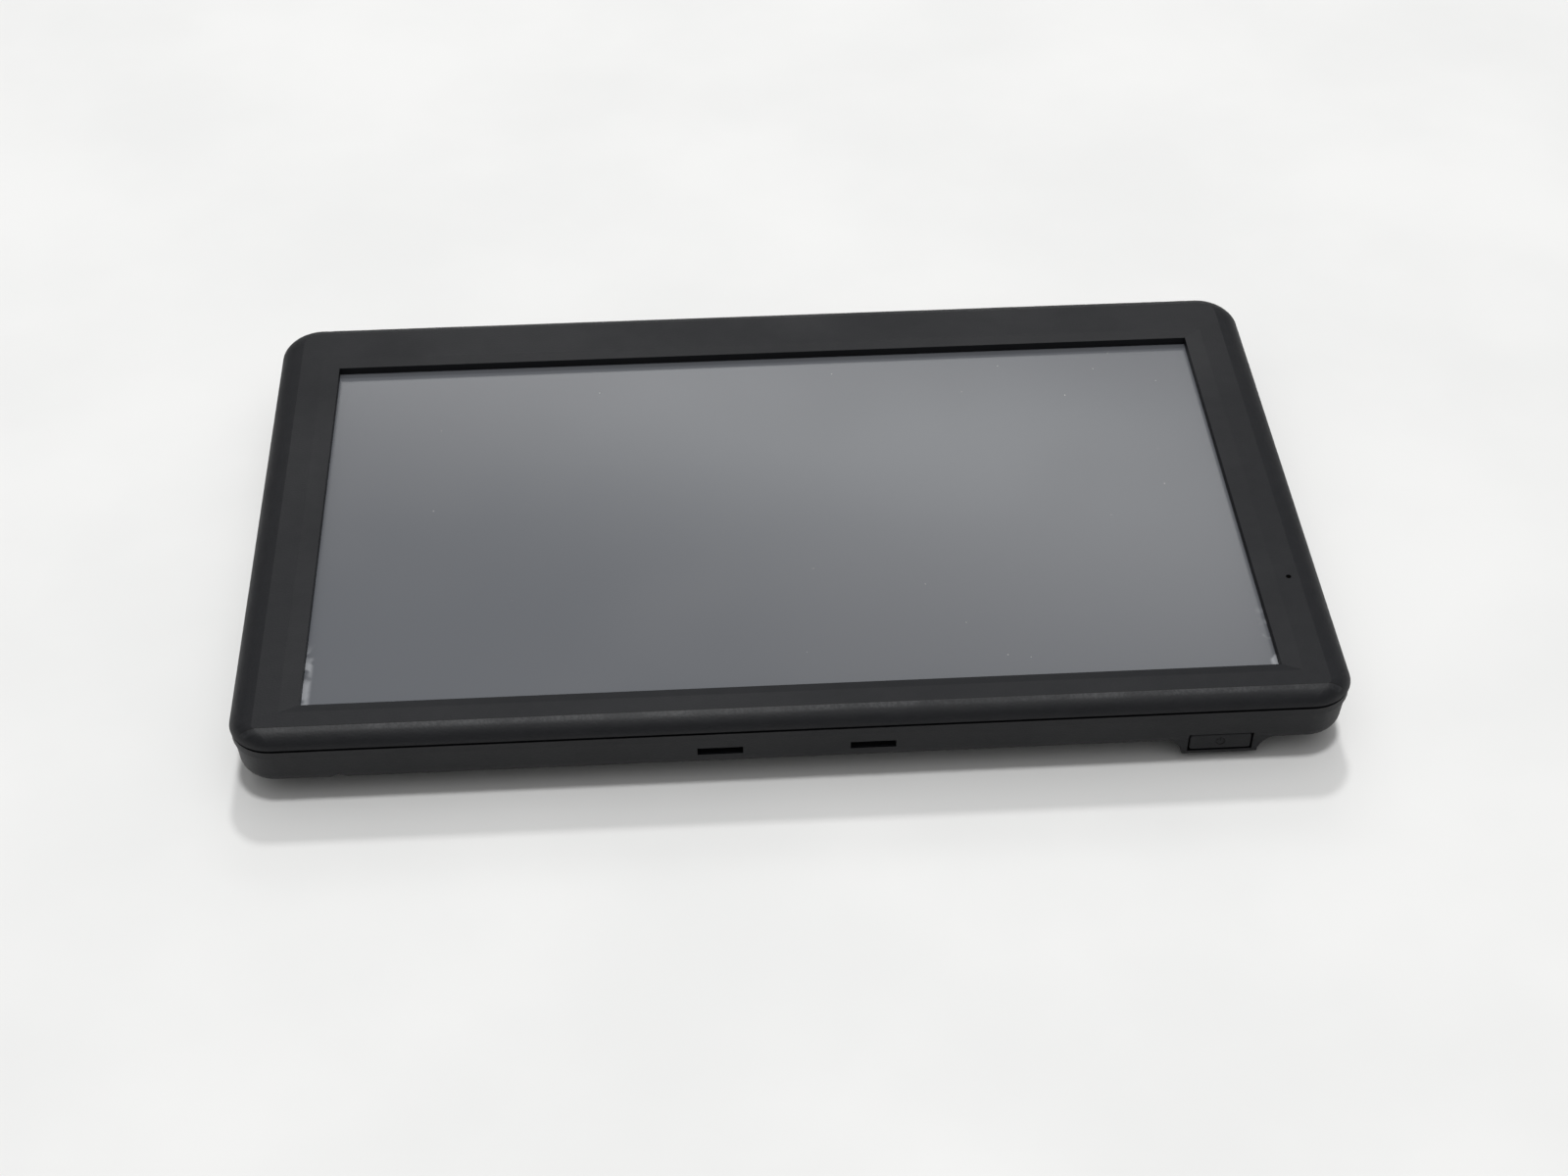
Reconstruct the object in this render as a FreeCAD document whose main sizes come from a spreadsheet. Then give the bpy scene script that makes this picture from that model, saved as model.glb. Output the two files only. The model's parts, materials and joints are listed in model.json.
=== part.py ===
"""A seven-inch reading tablet: a two-part plastic case around a display, a board and a battery.

Frame: +X along the long side, +Y from the edge with the power button to the far edge, +Z out of
the screen. The origin is the centre of the bounding box on the plane that the back rests on.
"""
import FreeCAD, Part
import math
import os
import Sketcher

doc = FreeCAD.newDocument("reader")

# ---------------------------------------------------------------------------------------------
# Driving sizes, in millimetres. Each row is alias, value, what it is.
# ---------------------------------------------------------------------------------------------
SIZES = [
    ("overall_length", 177.0, "case, along X"),
    ("overall_width", 108.2, "case, along Y"),
    ("overall_height", 14.0, "table to the flat front face"),
    ("corner_radius", 7.0, "outer corners in plan"),
    # front bezel
    ("opening_length", 155.0, "screen opening along X, for a 154.1 mm picture"),
    ("opening_width", 87.0, "screen opening along Y, for an 85.9 mm picture"),
    ("opening_shift", -2.8, "centre of the opening along Y"),
    ("rim_drop", 0.5, "fall of the slope round the opening"),
    ("rim_side", 3.0, "width of that slope at the two ends"),
    ("rim_edge", 2.0, "width of that slope along the long edges"),
    ("roll_side", 4.1, "plan width of the rolled edge at the two ends"),
    ("roll_near", 2.6, "plan width of the rolled edge at the button side"),
    ("roll_far", 3.4, "plan width of the rolled edge at the far side"),
    ("roll_drop", 2.6, "fall of the rolled edge to its lip"),
    ("crease_near", 0.8, "corner radius of the flat face, button side"),
    ("crease_far", 3.0, "corner radius of the flat face, far side"),
    ("face_thickness", 1.8, "plastic under the flat face"),
    ("tongue_inset", 2.05, "lip to the outside of the locating tongue"),
    ("tongue_wall", 1.2, "thickness of the tongue"),
    ("tongue_depth", 1.7, "tongue below the lip"),
    ("mic_x", 82.7, "microphone hole"),
    ("mic_y", -26.3, "microphone hole"),
    ("mic_hole_radius", 0.45, "microphone hole"),
    # rear housing
    ("parting_gap", 0.6, "open line between bezel and housing"),
    ("lip_overhang", 0.15, "housing stands back from the lip"),
    ("band_height", 1.3, "upper band of the wall"),
    ("band_step", 0.25, "step below the band"),
    ("wall", 1.8, "side wall thickness"),
    ("wall_taper", 0.5, "lean of the wall over its height"),
    ("wall_floor", 3.2, "lower edge of the wall above the table"),
    ("edge_round", 2.2, "round under the wall"),
    ("belly_side", 16.5, "lip to the resting face at the two ends"),
    ("belly_edge", 13.1, "lip to the resting face along the long edges"),
    ("belly_radius", 8.0, "corners of the resting face"),
    ("skin", 1.5, "back plate thickness"),
    # clip slots in both long walls
    ("slot_length", 7.2, "clip slot along X"),
    ("slot_height", 1.5, "clip slot along Z"),
    ("slot_z", 6.65, "clip slot centre height"),
    ("slot_offset", 12.05, "clip slot centre from the middle"),
    # power button and its bulge
    ("button_x", 67.5, "button centre"),
    ("button_z", 3.65, "button centre height"),
    ("button_length", 9.9, "button face along X"),
    ("button_height", 3.2, "button face along Z"),
    ("button_gap", 0.25, "clearance round the button"),
    ("button_corner", 0.5, "corner radius of the button's face"),
    ("button_edge", 0.3, "radius of the button's front edge"),
    ("button_flange", 0.5, "flange beyond the button's face"),
    ("flange_thickness", 0.8, "flange along Y"),
    ("travel", 0.5, "button stroke"),
    ("bulge_low", 1.25, "underside of the button bulge"),
    ("port_low", 0.8, "underside of the port bulge"),
    ("button_bulge", 12.1, "width of the button bulge at its underside"),
    ("bulge_flare", 3.2, "each ramp beside a bulge"),
    ("flare_radius", 3.25, "hollow curve of the ramps"),
    ("bulge_depth", 13.2, "bulges reach in from the wall"),
    ("bulge_wall", 1.3, "wall at the button"),
    ("port_y", -4.0, "centre of the port bulge"),
    ("port_bulge", 54.0, "width of the port bulge at its underside"),
    # screws
    ("case_screw_x", 71.8, "three case screws from the middle"),
    ("case_screw_inset", 3.7, "case screws in from the lip"),
    ("case_side_y", -38.0, "case screw beside the button bulge"),
    ("pocket_radius", 2.9, "screw pocket in the back"),
    ("pocket_top", 5.0, "roof of the screw pocket"),
    ("pocket_roof", 1.0, "plastic under the screw head"),
    ("pocket_wall", 1.2, "wall round the screw pocket"),
    ("boss_radius", 1.6, "bezel bosses for the case screws"),
    ("boss_gap", 0.1, "between housing boss and bezel boss"),
    ("case_shank", 0.9, "case screw shank radius"),
    ("case_head", 1.7, "case screw head radius"),
    ("head_height", 1.0, "case screw head"),
    ("shank_length", 5.6, "case screw under its head"),
    ("screw_clearance", 0.2, "radial clearance in plain holes"),
    ("ear_x", 83.15, "bracket ears from the middle"),
    ("ear_y_far", 36.0, "bracket ears"),
    ("ear_y_near", -12.0, "bracket ears"),
    ("ear_radius", 1.75, "ear and its bezel boss"),
    ("small_shank", 0.7, "bracket screw shank radius"),
    ("small_head", 1.5, "bracket and board screw head radius"),
    ("small_head_height", 0.8, "bracket and board screw head"),
    ("small_length", 3.0, "bracket screw under its head"),
    # display stack, from the front down
    ("gasket_thickness", 0.2, "foam between bezel and film"),
    ("gasket_width", 1.4, "foam strip"),
    ("gasket_back", 0.6, "foam stands back from the opening"),
    ("film_thickness", 0.2, "matte touch film"),
    ("glass_thickness", 0.9, "touch glass"),
    ("adhesive_thickness", 0.3, "frame of adhesive under the glass"),
    ("cell_thickness", 1.2, "liquid crystal cell"),
    ("light_thickness", 1.6, "backlight"),
    ("tray_thickness", 0.3, "steel tray round the display"),
    ("tray_wall_height", 2.8, "tray sides above its floor"),
    ("bracket_thickness", 0.4, "steel bracket"),
    ("display_length", 162.0, "display module along X"),
    ("display_width", 96.8, "display module along Y"),
    ("display_margin", 0.4, "steps between the display's layers"),
    ("picture_margin", 5.5, "module beyond the far edge of the cell's glass"),
    ("bracket_width", 93.0, "bracket plate along Y"),
    # main board
    ("board_thickness", 1.0, "main board"),
    ("board_standoff", 1.1, "board above the back plate"),
    ("board_left", -74.0, "main board, left edge"),
    ("board_right", -8.0, "main board, right edge"),
    ("board_near", -40.0, "main board, near edge"),
    ("board_far", 36.0, "main board, far edge"),
    ("port_setback", 0.2, "board behind the port wall"),
    ("post_radius", 2.2, "posts under the board"),
    ("board_shank", 0.8, "board screw shank radius"),
    ("usb_y", 0.0, "power and data socket"),
    ("usb_width", 7.6, "power and data socket"),
    ("usb_height", 2.45, "power and data socket"),
    ("usb_depth", 5.6, "power and data socket"),
    ("socket_metal", 0.3, "sheet metal of the sockets"),
    ("window_gap", 0.3, "clearance of the port windows"),
    ("jack_y", 14.0, "headphone jack"),
    ("jack_lift", 0.1, "headphone jack above the back plate"),
    ("jack_bore", 1.8, "headphone bore radius"),
    ("jack_body", 5.0, "headphone jack height"),
    ("jack_width", 6.2, "headphone jack width"),
    ("jack_depth", 12.0, "headphone jack behind the wall"),
    ("jack_collar", 2.4, "collar radius in the wall"),
    ("card_y", -20.0, "memory card socket"),
    ("card_width", 14.0, "memory card socket"),
    ("card_height", 1.4, "memory card socket"),
    ("card_depth", 15.0, "memory card socket"),
    ("shield_length", 26.0, "processor shield"),
    ("shield_width", 22.0, "processor shield"),
    ("shield_height", 1.6, "processor shield"),
    ("shield_x", -46.0, "processor shield"),
    ("shield_y", 6.0, "processor shield"),
    ("shield_metal", 0.2, "processor shield"),
    ("coil_x", 8.0, "power coil from the shield's centre"),
    ("coil_y", -24.0, "power coil from the shield's centre"),
    ("coil_radius", 2.6, "power coil"),
    ("coil_height", 2.0, "power coil"),
    ("connector_height", 1.0, "ribbon connectors"),
    ("connector_depth", 4.0, "ribbon connectors along their ribbon"),
    ("connector_cheeks", 1.0, "ribbon connectors beyond the ribbon's width, both sides together"),
    ("flex_x", -30.0, "display ribbon"),
    ("flex_width", 20.0, "display ribbon"),
    ("touch_y", 27.0, "touch ribbon"),
    ("touch_width", 6.0, "touch ribbon"),
    ("key_width", 3.0, "ribbon of the power switch"),
    ("ribbon", 0.2, "ribbon cable thickness"),
    ("touch_fold", 2.6, "touch ribbon folds this far outside the glass"),
    # battery, speaker, key board
    ("battery_left", -4.0, "battery pouch"),
    ("battery_length", 64.0, "battery pouch"),
    ("battery_near", -36.0, "battery pouch"),
    ("battery_width", 54.0, "battery pouch"),
    ("battery_thickness", 5.0, "battery pouch"),
    ("tape_thickness", 0.2, "tape under the battery"),
    ("tape_width", 12.0, "tape strips"),
    ("lead_radius", 0.5, "insulated leads"),
    ("speaker_x", 35.0, "speaker"),
    ("speaker_y", 29.5, "speaker"),
    ("speaker_length", 30.0, "speaker"),
    ("speaker_width", 15.0, "speaker"),
    ("speaker_height", 4.0, "speaker"),
    ("speaker_seal", 0.8, "foam ring under the speaker"),
    ("seal_width", 1.6, "foam ring"),
    ("mesh_thickness", 0.15, "dust mesh over the sound slots"),
    ("grille_slot", 1.2, "sound slot width"),
    ("grille_pitch", 3.2, "sound slot spacing"),
    ("grille_length", 9.0, "sound slot length"),
    ("key_lip", 0.25, "board in front of the switch; less than reach minus stroke"),
    ("key_board_thickness", 0.6, "board under the power switch"),
    ("key_board_length", 10.2, "board under the power switch"),
    ("key_board_width", 8.0, "board under the power switch"),
    ("switch_length", 6.0, "power switch body"),
    ("switch_width", 3.2, "power switch body"),
    ("switch_height", 2.6, "power switch body"),
    ("plunger_length", 2.4, "power switch plunger"),
    ("plunger_height", 1.2, "power switch plunger"),
    ("plunger_reach", 0.85, "plunger in front of the switch body"),
    ("plunger_inside", 1.5, "plunger inside the switch body"),
    ("contact_gap", 0.05, "pieces that press on each other, at rest"),
    ("mic_radius", 1.2, "microphone capsule"),
    ("mic_height", 1.5, "microphone capsule"),
    ("mic_boot_wall", 0.4, "rubber boot"),
]

# Counts stay outside the sheet, because they change which pieces there are.
GRILLE_SLOTS = 7
BRACKET_WINDOWS = 3

# Chips on the main board: node, then X and Y from the shield's centre, length, width, height.
CHIPS = [
    ("processor_chip", -3, 0, 14, 14, 1.2),
    ("memory_chip", 22, 4, 12, 10, 1.0),
    ("storage_chip", 22, -16, 12, 18, 1.0),
    ("power_chip", -2, -24, 6, 6, 0.9),
]

sheet = doc.addObject("Spreadsheet::Sheet", "sizes")
for row, (alias, value, note) in enumerate(SIZES, start=1):
    sheet.set(f"A{row}", alias)
    sheet.set(f"B{row}", str(value))
    sheet.set(f"C{row}", note)
    sheet.setAlias(f"B{row}", alias)
doc.recompute()


# ---------------------------------------------------------------------------------------------
# A size knows its number and the sheet expression that gives it, so every property and every
# sketch dimension made from one stays bound to the sheet.
# ---------------------------------------------------------------------------------------------
class Size:
    def __init__(self, number, text):
        self.number = number
        self.text = text

    def __add__(self, other):
        other = as_size(other)
        return Size(self.number + other.number, f"({self.text} + {other.text})")

    def __sub__(self, other):
        other = as_size(other)
        return Size(self.number - other.number, f"({self.text} - {other.text})")

    def __mul__(self, factor):
        return Size(self.number * factor, f"({self.text} * {factor:.6f})")

    def __truediv__(self, factor):
        return Size(self.number / factor, f"({self.text} / {factor:.6f})")

    def __neg__(self):
        return Size(-self.number, f"(0 - {self.text})")

    def __radd__(self, other):
        return as_size(other) + self

    def __rsub__(self, other):
        return as_size(other) - self


def as_size(thing):
    return thing if isinstance(thing, Size) else Size(float(thing), f"({float(thing):.6f})")


class Values:
    """Reads a named value from the sheet: v.wall is the cell with the alias wall."""

    def __getattr__(self, alias):
        return Size(float(sheet.get(alias)), f"sizes.{alias}")


v = Values()


def bind(thing, path, size):
    thing.setExpression(path, as_size(size).text)


# ---------------------------------------------------------------------------------------------
# Primitives and booleans
# ---------------------------------------------------------------------------------------------
def move(solid, x, y, z):
    """Places an object; its rotation stays as it is."""
    rotation = solid.Placement.Rotation
    base = [as_size(value) for value in (x, y, z)]
    solid.Placement = FreeCAD.Placement(FreeCAD.Vector(*[size.number for size in base]), rotation)
    for axis, size in zip("xyz", base):
        bind(solid, f"Placement.Base.{axis}", size)


def block(name, x, y, z, length, width, height):
    """A box by its low corner and its three edges."""
    solid = doc.addObject("Part::Box", name)
    bind(solid, "Length", length)
    bind(solid, "Width", width)
    bind(solid, "Height", height)
    move(solid, x, y, z)
    return solid


def slab(name, x_range, y_range, z_range):
    """A box by its low and high limits on each axis."""
    lows = [as_size(low) for low, high in (x_range, y_range, z_range)]
    spans = [as_size(high) - low for low, high in (x_range, y_range, z_range)]
    return block(name, *lows, *spans)


def around(centre, span):
    """The two limits of a span about its centre."""
    return as_size(centre) - as_size(span) / 2, as_size(centre) + as_size(span) / 2


AXES = {
    "z": FreeCAD.Rotation(),
    "x": FreeCAD.Rotation(FreeCAD.Vector(0, 1, 0), 90),
    "y": FreeCAD.Rotation(FreeCAD.Vector(1, 0, 0), -90),
}


def rod(name, x, y, z, radius, length, axis="z"):
    """A cylinder from its start point along +X, +Y or +Z."""
    solid = doc.addObject("Part::Cylinder", name)
    bind(solid, "Radius", radius)
    bind(solid, "Height", length)
    solid.Placement = FreeCAD.Placement(FreeCAD.Vector(), AXES[axis])
    move(solid, x, y, z)
    return solid


def cut(name, base, tool):
    result = doc.addObject("Part::Cut", name)
    result.Base = base
    result.Tool = tool
    return result


def fuse(name, pieces):
    result = doc.addObject("Part::MultiFuse", name)
    result.Shapes = pieces
    return result


# ---------------------------------------------------------------------------------------------
# Bodies made from sketches
# ---------------------------------------------------------------------------------------------
def new_body(name):
    return doc.addObject("PartDesign::Body", name)


def new_sketch(body, name, plane, offset):
    """A sketch on one of the body's own origin planes, lifted by an offset along its normal."""
    sketch = body.newObject("Sketcher::SketchObject", name)
    role = f"{plane}_Plane"
    support = [item for item in body.Origin.OriginFeatures if item.Role == role][0]
    sketch.AttachmentSupport = [(support, "")]
    sketch.MapMode = "FlatFace"
    bind(sketch, "AttachmentOffset.Base.z", offset)
    return sketch


def dimension(sketch, kind, *reference, size):
    index = sketch.addConstraint(Sketcher.Constraint(kind, *reference, size.number))
    sketch.setExpression(f"Constraints[{index}]", size.text)


def outline(sketch, points, arcs=None):
    """A closed outline. arcs maps the index of a side to its radius and the side it bows to."""
    arcs = arcs or {}
    points = [(as_size(x), as_size(y)) for x, y in points]
    places = [FreeCAD.Vector(x.number, y.number, 0) for x, y in points]
    count = len(points)
    ends = []
    for index in range(count):
        start, end = places[index], places[(index + 1) % count]
        if index in arcs:
            radius, side = arcs[index]
            middle = (start + end) / 2
            half = (end - start).Length / 2
            normal = FreeCAD.Vector(end.y - start.y, start.x - end.x, 0).normalize()
            rise = radius.number - math.sqrt(radius.number ** 2 - half ** 2)
            curve = Part.Arc(start, middle + normal * (rise * side), end)
            geometry = sketch.addGeometry(curve, False)
            # an arc runs counter-clockwise, so its first point may be the side's end
            first = sketch.getPoint(geometry, 1)
            order = (1, 2) if (first - start).Length < 1e-6 else (2, 1)
            dimension(sketch, "Radius", geometry, size=radius)
        else:
            geometry = sketch.addGeometry(Part.LineSegment(start, end), False)
            order = (1, 2)
        ends.append((geometry, order))
    for index in range(count):
        geometry, order = ends[index]
        following, next_order = ends[(index + 1) % count]
        joint = Sketcher.Constraint("Coincident", geometry, order[1], following, next_order[0])
        sketch.addConstraint(joint)
        dimension(sketch, "DistanceX", -1, 1, geometry, order[0], size=points[index][0])
        dimension(sketch, "DistanceY", -1, 1, geometry, order[0], size=points[index][1])


def rectangle(sketch, x_range, y_range):
    (left, right), (low, high) = x_range, y_range
    outline(sketch, [(left, low), (right, low), (right, high), (left, high)])


def rounded(sketch, x_range, y_range, low_radius, high_radius=None):
    """A rectangle with one corner radius at its low-Y side and one at its high-Y side."""
    left, right = [as_size(limit) for limit in x_range]
    low, high = [as_size(limit) for limit in y_range]
    near = as_size(low_radius)
    far = near if high_radius is None else as_size(high_radius)
    radii = (near, near, far, far)
    starts = [(left + near, low), (right, low + near), (right - far, high), (left, high - far)]
    stops = [(right - near, low), (right, high - far), (left + far, high), (left, low + near)]
    lines = []
    for start, stop in zip(starts, stops):
        ends = [FreeCAD.Vector(x.number, y.number, 0) for x, y in (start, stop)]
        lines.append(sketch.addGeometry(Part.LineSegment(*ends), False))
    centres = [(right - near, low + near), (right - far, high - far)]
    centres += [(left + far, high - far), (left + near, low + near)]
    corner_radii = (near, far, far, near)
    turns = (-90, 0, 90, 180)
    for index, ((x, y), radius, turn) in enumerate(zip(centres, corner_radii, turns)):
        circle = Part.Circle(FreeCAD.Vector(x.number, y.number, 0), FreeCAD.Vector(0, 0, 1), radius.number)
        first, last = math.radians(turn), math.radians(turn + 90)
        arc = sketch.addGeometry(Part.ArcOfCircle(circle, first, last), False)
        sketch.addConstraint(Sketcher.Constraint("Tangent", lines[index], 2, arc, 1))
        sketch.addConstraint(Sketcher.Constraint("Tangent", arc, 2, lines[(index + 1) % 4], 1))
        dimension(sketch, "Radius", arc, size=radius)
    for index, kind in enumerate(("Horizontal", "Vertical", "Horizontal", "Vertical")):
        sketch.addConstraint(Sketcher.Constraint(kind, lines[index]))
    dimension(sketch, "DistanceY", -1, 1, lines[0], 1, size=low)
    dimension(sketch, "DistanceX", -1, 1, lines[1], 1, size=right)
    dimension(sketch, "DistanceY", -1, 1, lines[2], 1, size=high)
    dimension(sketch, "DistanceX", -1, 1, lines[3], 1, size=left)


def circles(sketch, centres, radius):
    for x, y in centres:
        x, y = as_size(x), as_size(y)
        circle = Part.Circle(FreeCAD.Vector(x.number, y.number, 0), FreeCAD.Vector(0, 0, 1), radius.number)
        index = sketch.addGeometry(circle, False)
        dimension(sketch, "DistanceX", -1, 1, index, 3, size=x)
        dimension(sketch, "DistanceY", -1, 1, index, 3, size=y)
        dimension(sketch, "Radius", index, size=radius)


def pad(body, name, sketch, length, against=False):
    """Adds the sketch's area along its plane's normal, or against it."""
    feature = body.newObject("PartDesign::Pad", name)
    feature.Profile = sketch
    bind(feature, "Length", length)
    feature.Reversed = against
    sketch.Visibility = False
    return feature


def pocket(body, name, sketch, length, along=False):
    """Removes the sketch's area against its plane's normal, or along it, and must remove some."""
    doc.recompute()
    before = body.Shape.Volume
    feature = body.newObject("PartDesign::Pocket", name)
    feature.Profile = sketch
    bind(feature, "Length", length)
    feature.Reversed = along
    doc.recompute()
    if body.Shape.Volume > before - 1e-6:
        raise RuntimeError(f"{name} removes nothing")
    return feature


def loft(body, name, sketches, kind="PartDesign::AdditiveLoft", ruled=False):
    feature = body.newObject(kind, name)
    feature.Profile = sketches[0]
    feature.Sections = [(sketch, [""]) for sketch in sketches[1:]]
    feature.Ruled = ruled
    return feature


def rounded_edges(body, name, chosen, radius):
    """Fillets the edges of the body's tip that a test picks."""
    doc.recompute()
    tip = body.Tip
    names = [f"Edge{n}" for n, edge in enumerate(tip.Shape.Edges, start=1) if chosen(edge)]
    feature = body.newObject("PartDesign::Fillet", name)
    feature.Base = (tip, names)
    bind(feature, "Radius", radius)
    return feature


# ---------------------------------------------------------------------------------------------
# Register of finished sub-parts
# ---------------------------------------------------------------------------------------------
parts = {}


def finish(node, thing):
    thing.Label = node
    parts[node] = thing
    return thing


# ---------------------------------------------------------------------------------------------
# Levels and outlines that the pieces share
# ---------------------------------------------------------------------------------------------
half_length = v.overall_length / 2
half_width = v.overall_width / 2
opening_x = around(0, v.opening_length)
opening_y = around(v.opening_shift, v.opening_width)

lip_z = v.overall_height - v.roll_drop
rim_z = v.overall_height - v.rim_drop
under_z = v.overall_height - v.face_thickness
tongue_z = lip_z - v.tongue_depth
housing_top = lip_z - v.parting_gap
band_z = housing_top - v.band_height
hollow_floor = v.wall_floor + v.skin

film_top = under_z - v.gasket_thickness
film_z = film_top - v.film_thickness
glass_z = film_z - v.glass_thickness
adhesive_z = glass_z - v.adhesive_thickness
cell_z = adhesive_z - v.cell_thickness
light_z = cell_z - v.light_thickness
tray_z = light_z - v.tray_thickness
bracket_z = tray_z - v.bracket_thickness

board_z = v.skin + v.board_standoff
board_top = board_z + v.board_thickness
pocket_boss_top = v.pocket_top + v.pocket_roof

low_inset = v.lip_overhang + v.band_step + v.wall_taper
near_face = -half_width + low_inset
left_face = -half_length + low_inset
port_inner = left_face + v.wall
jack_z = v.skin + v.jack_lift + v.jack_body / 2

case_screws = [
    (-v.case_screw_x, -half_width + v.case_screw_inset),
    (-v.case_screw_x, half_width - v.case_screw_inset),
    (v.case_screw_x, half_width - v.case_screw_inset),
    (half_length - v.case_screw_inset, v.case_side_y),
]
ear_screws = [(x, y) for x in (-v.ear_x, v.ear_x) for y in (v.ear_y_near, v.ear_y_far)]
board_posts = [
    (v.board_left + 5, v.board_near + 5),
    (v.board_left + 5, v.board_far - 4),
    (v.board_right - 4, v.board_far - 4),
]


def ring_limits(inset_x, inset_near, inset_far):
    """The plan outline of the case moved in from its lip."""
    x_range = (-half_length + inset_x, half_length - inset_x)
    y_range = (-half_width + inset_near, half_width - inset_far)
    return x_range, y_range


# ---------------------------------------------------------------------------------------------
# Front bezel: a flat face that rolls over to a lip, sloped in to the screen opening
# ---------------------------------------------------------------------------------------------
ROLL_START = 20.0
ROLL_END = 80.0
ROLL_STEPS = 5


def roll_shares(step):
    """How far out and how far down the rolled edge is at one of its steps."""
    angle = math.radians(ROLL_START + (ROLL_END - ROLL_START) * step / (ROLL_STEPS - 1))
    first, last = math.radians(ROLL_START), math.radians(ROLL_END)
    out = (math.sin(angle) - math.sin(first)) / (math.sin(last) - math.sin(first))
    down = (math.cos(first) - math.cos(angle)) / (math.cos(first) - math.cos(last))
    return out, down


def make_front_bezel():
    body = new_body("bezel_body")
    sections = []
    for step in range(ROLL_STEPS):
        out, down = roll_shares(step)
        left = 1 - out
        x_range, y_range = ring_limits(v.roll_side * left, v.roll_near * left, v.roll_far * left)
        sketch = new_sketch(body, f"roll_{step}", "XY", v.overall_height - v.roll_drop * down)
        near_radius = v.crease_near * left + v.corner_radius * out
        far_radius = v.crease_far * left + v.corner_radius * out
        rounded(sketch, x_range, y_range, near_radius, far_radius)
        sections.append(sketch)
    loft(body, "rolled_edge", sections)

    inset = v.tongue_inset
    sketch = new_sketch(body, "tongue_outline", "XY", tongue_z)
    rounded(sketch, *ring_limits(inset, inset, inset), v.corner_radius - inset)
    pad(body, "tongue", sketch, v.tongue_depth + 0.2)

    inner = v.tongue_inset + v.tongue_wall
    sketch = new_sketch(body, "hollow_outline", "XY", tongue_z)
    rounded(sketch, *ring_limits(inner, inner, inner), v.corner_radius - inner)
    pocket(body, "hollow", sketch, under_z - tongue_z, along=True)

    sketch = new_sketch(body, "opening_outline", "XY", under_z)
    rectangle(sketch, opening_x, opening_y)
    pocket(body, "opening", sketch, v.face_thickness + 1, along=True)

    rim = new_sketch(body, "rim_outline", "XY", rim_z)
    rectangle(rim, opening_x, opening_y)
    shoulder = new_sketch(body, "shoulder_outline", "XY", v.overall_height)
    x_range = (opening_x[0] - v.rim_side, opening_x[1] + v.rim_side)
    y_range = (opening_y[0] - v.rim_edge, opening_y[1] + v.rim_edge)
    rectangle(shoulder, x_range, y_range)
    loft(body, "rim_slope", [rim, shoulder], "PartDesign::SubtractiveLoft", ruled=True)

    sketch = new_sketch(body, "case_bosses", "XY", pocket_boss_top + v.boss_gap)
    circles(sketch, case_screws, v.boss_radius)
    pad(body, "case_boss", sketch, under_z - pocket_boss_top - v.boss_gap + 0.2)
    sketch = new_sketch(body, "ear_bosses", "XY", tray_z)
    circles(sketch, ear_screws, v.ear_radius)
    pad(body, "ear_boss", sketch, under_z - tray_z + 0.2)

    sketch = new_sketch(body, "case_pilots", "XY", pocket_boss_top + v.boss_gap)
    circles(sketch, case_screws, v.case_shank)
    pilot = v.pocket_top + v.shank_length + 0.2 - pocket_boss_top - v.boss_gap
    pocket(body, "case_pilot", sketch, pilot, along=True)
    sketch = new_sketch(body, "ear_pilots", "XY", tray_z)
    circles(sketch, ear_screws, v.small_shank)
    pocket(body, "ear_pilot", sketch, bracket_z + v.small_length + 0.2 - tray_z, along=True)

    sketch = new_sketch(body, "mic_outline", "XY", v.overall_height)
    circles(sketch, [(v.mic_x, v.mic_y)], v.mic_hole_radius)
    pocket(body, "mic_hole", sketch, v.face_thickness + 0.2)
    finish("front_bezel", body)


# ---------------------------------------------------------------------------------------------
# Rear housing: a tapered wall, a belly that the case rests on, and two bulges for the controls
# ---------------------------------------------------------------------------------------------
def housing_outside():
    body = new_body("housing_outside")
    high_inset = v.lip_overhang + v.band_step
    radius = v.corner_radius
    low = new_sketch(body, "wall_low", "XY", v.wall_floor)
    rounded(low, *ring_limits(low_inset, low_inset, low_inset), radius - low_inset)
    high = new_sketch(body, "wall_high", "XY", band_z)
    rounded(high, *ring_limits(high_inset, high_inset, high_inset), radius - high_inset)
    loft(body, "wall_side", [low, high], ruled=True)
    floor = v.wall_floor.number
    rounded_edges(body, "wall_round", lambda edge: edge.BoundBox.ZMax < floor + 0.01, v.edge_round)

    inset = v.lip_overhang
    sketch = new_sketch(body, "band_outline", "XY", band_z)
    rounded(sketch, *ring_limits(inset, inset, inset), radius - inset)
    pad(body, "band", sketch, v.band_height)

    inset = low_inset + v.edge_round
    top = new_sketch(body, "belly_high", "XY", v.wall_floor)
    rounded(top, *ring_limits(inset, inset, inset), radius - inset)
    rest = new_sketch(body, "belly_low", "XY", 0)
    rounded(rest, *ring_limits(v.belly_side, v.belly_edge, v.belly_edge), v.belly_radius)
    loft(body, "belly", [top, rest], ruled=True)
    return body


def bulge(name, plane, offset, centre, width, low, depth, against):
    """A pad of wall that reaches down beside hollow-curved ramps."""
    body = new_body(name)
    sketch = new_sketch(body, f"{name}_outline", plane, offset)
    half = width / 2
    flare = half + v.bulge_flare
    top = v.wall_floor + v.edge_round * 0.55
    roof = v.wall_floor + v.edge_round
    points = [
        (centre - half, low), (centre + half, low), (centre + flare, top),
        (centre + flare, roof), (centre - flare, roof), (centre - flare, top),
    ]
    outline(sketch, points, arcs={1: (v.flare_radius, -1), 5: (v.flare_radius, -1)})
    pad(body, f"{name}_pad", sketch, depth, against)
    return body


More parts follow.
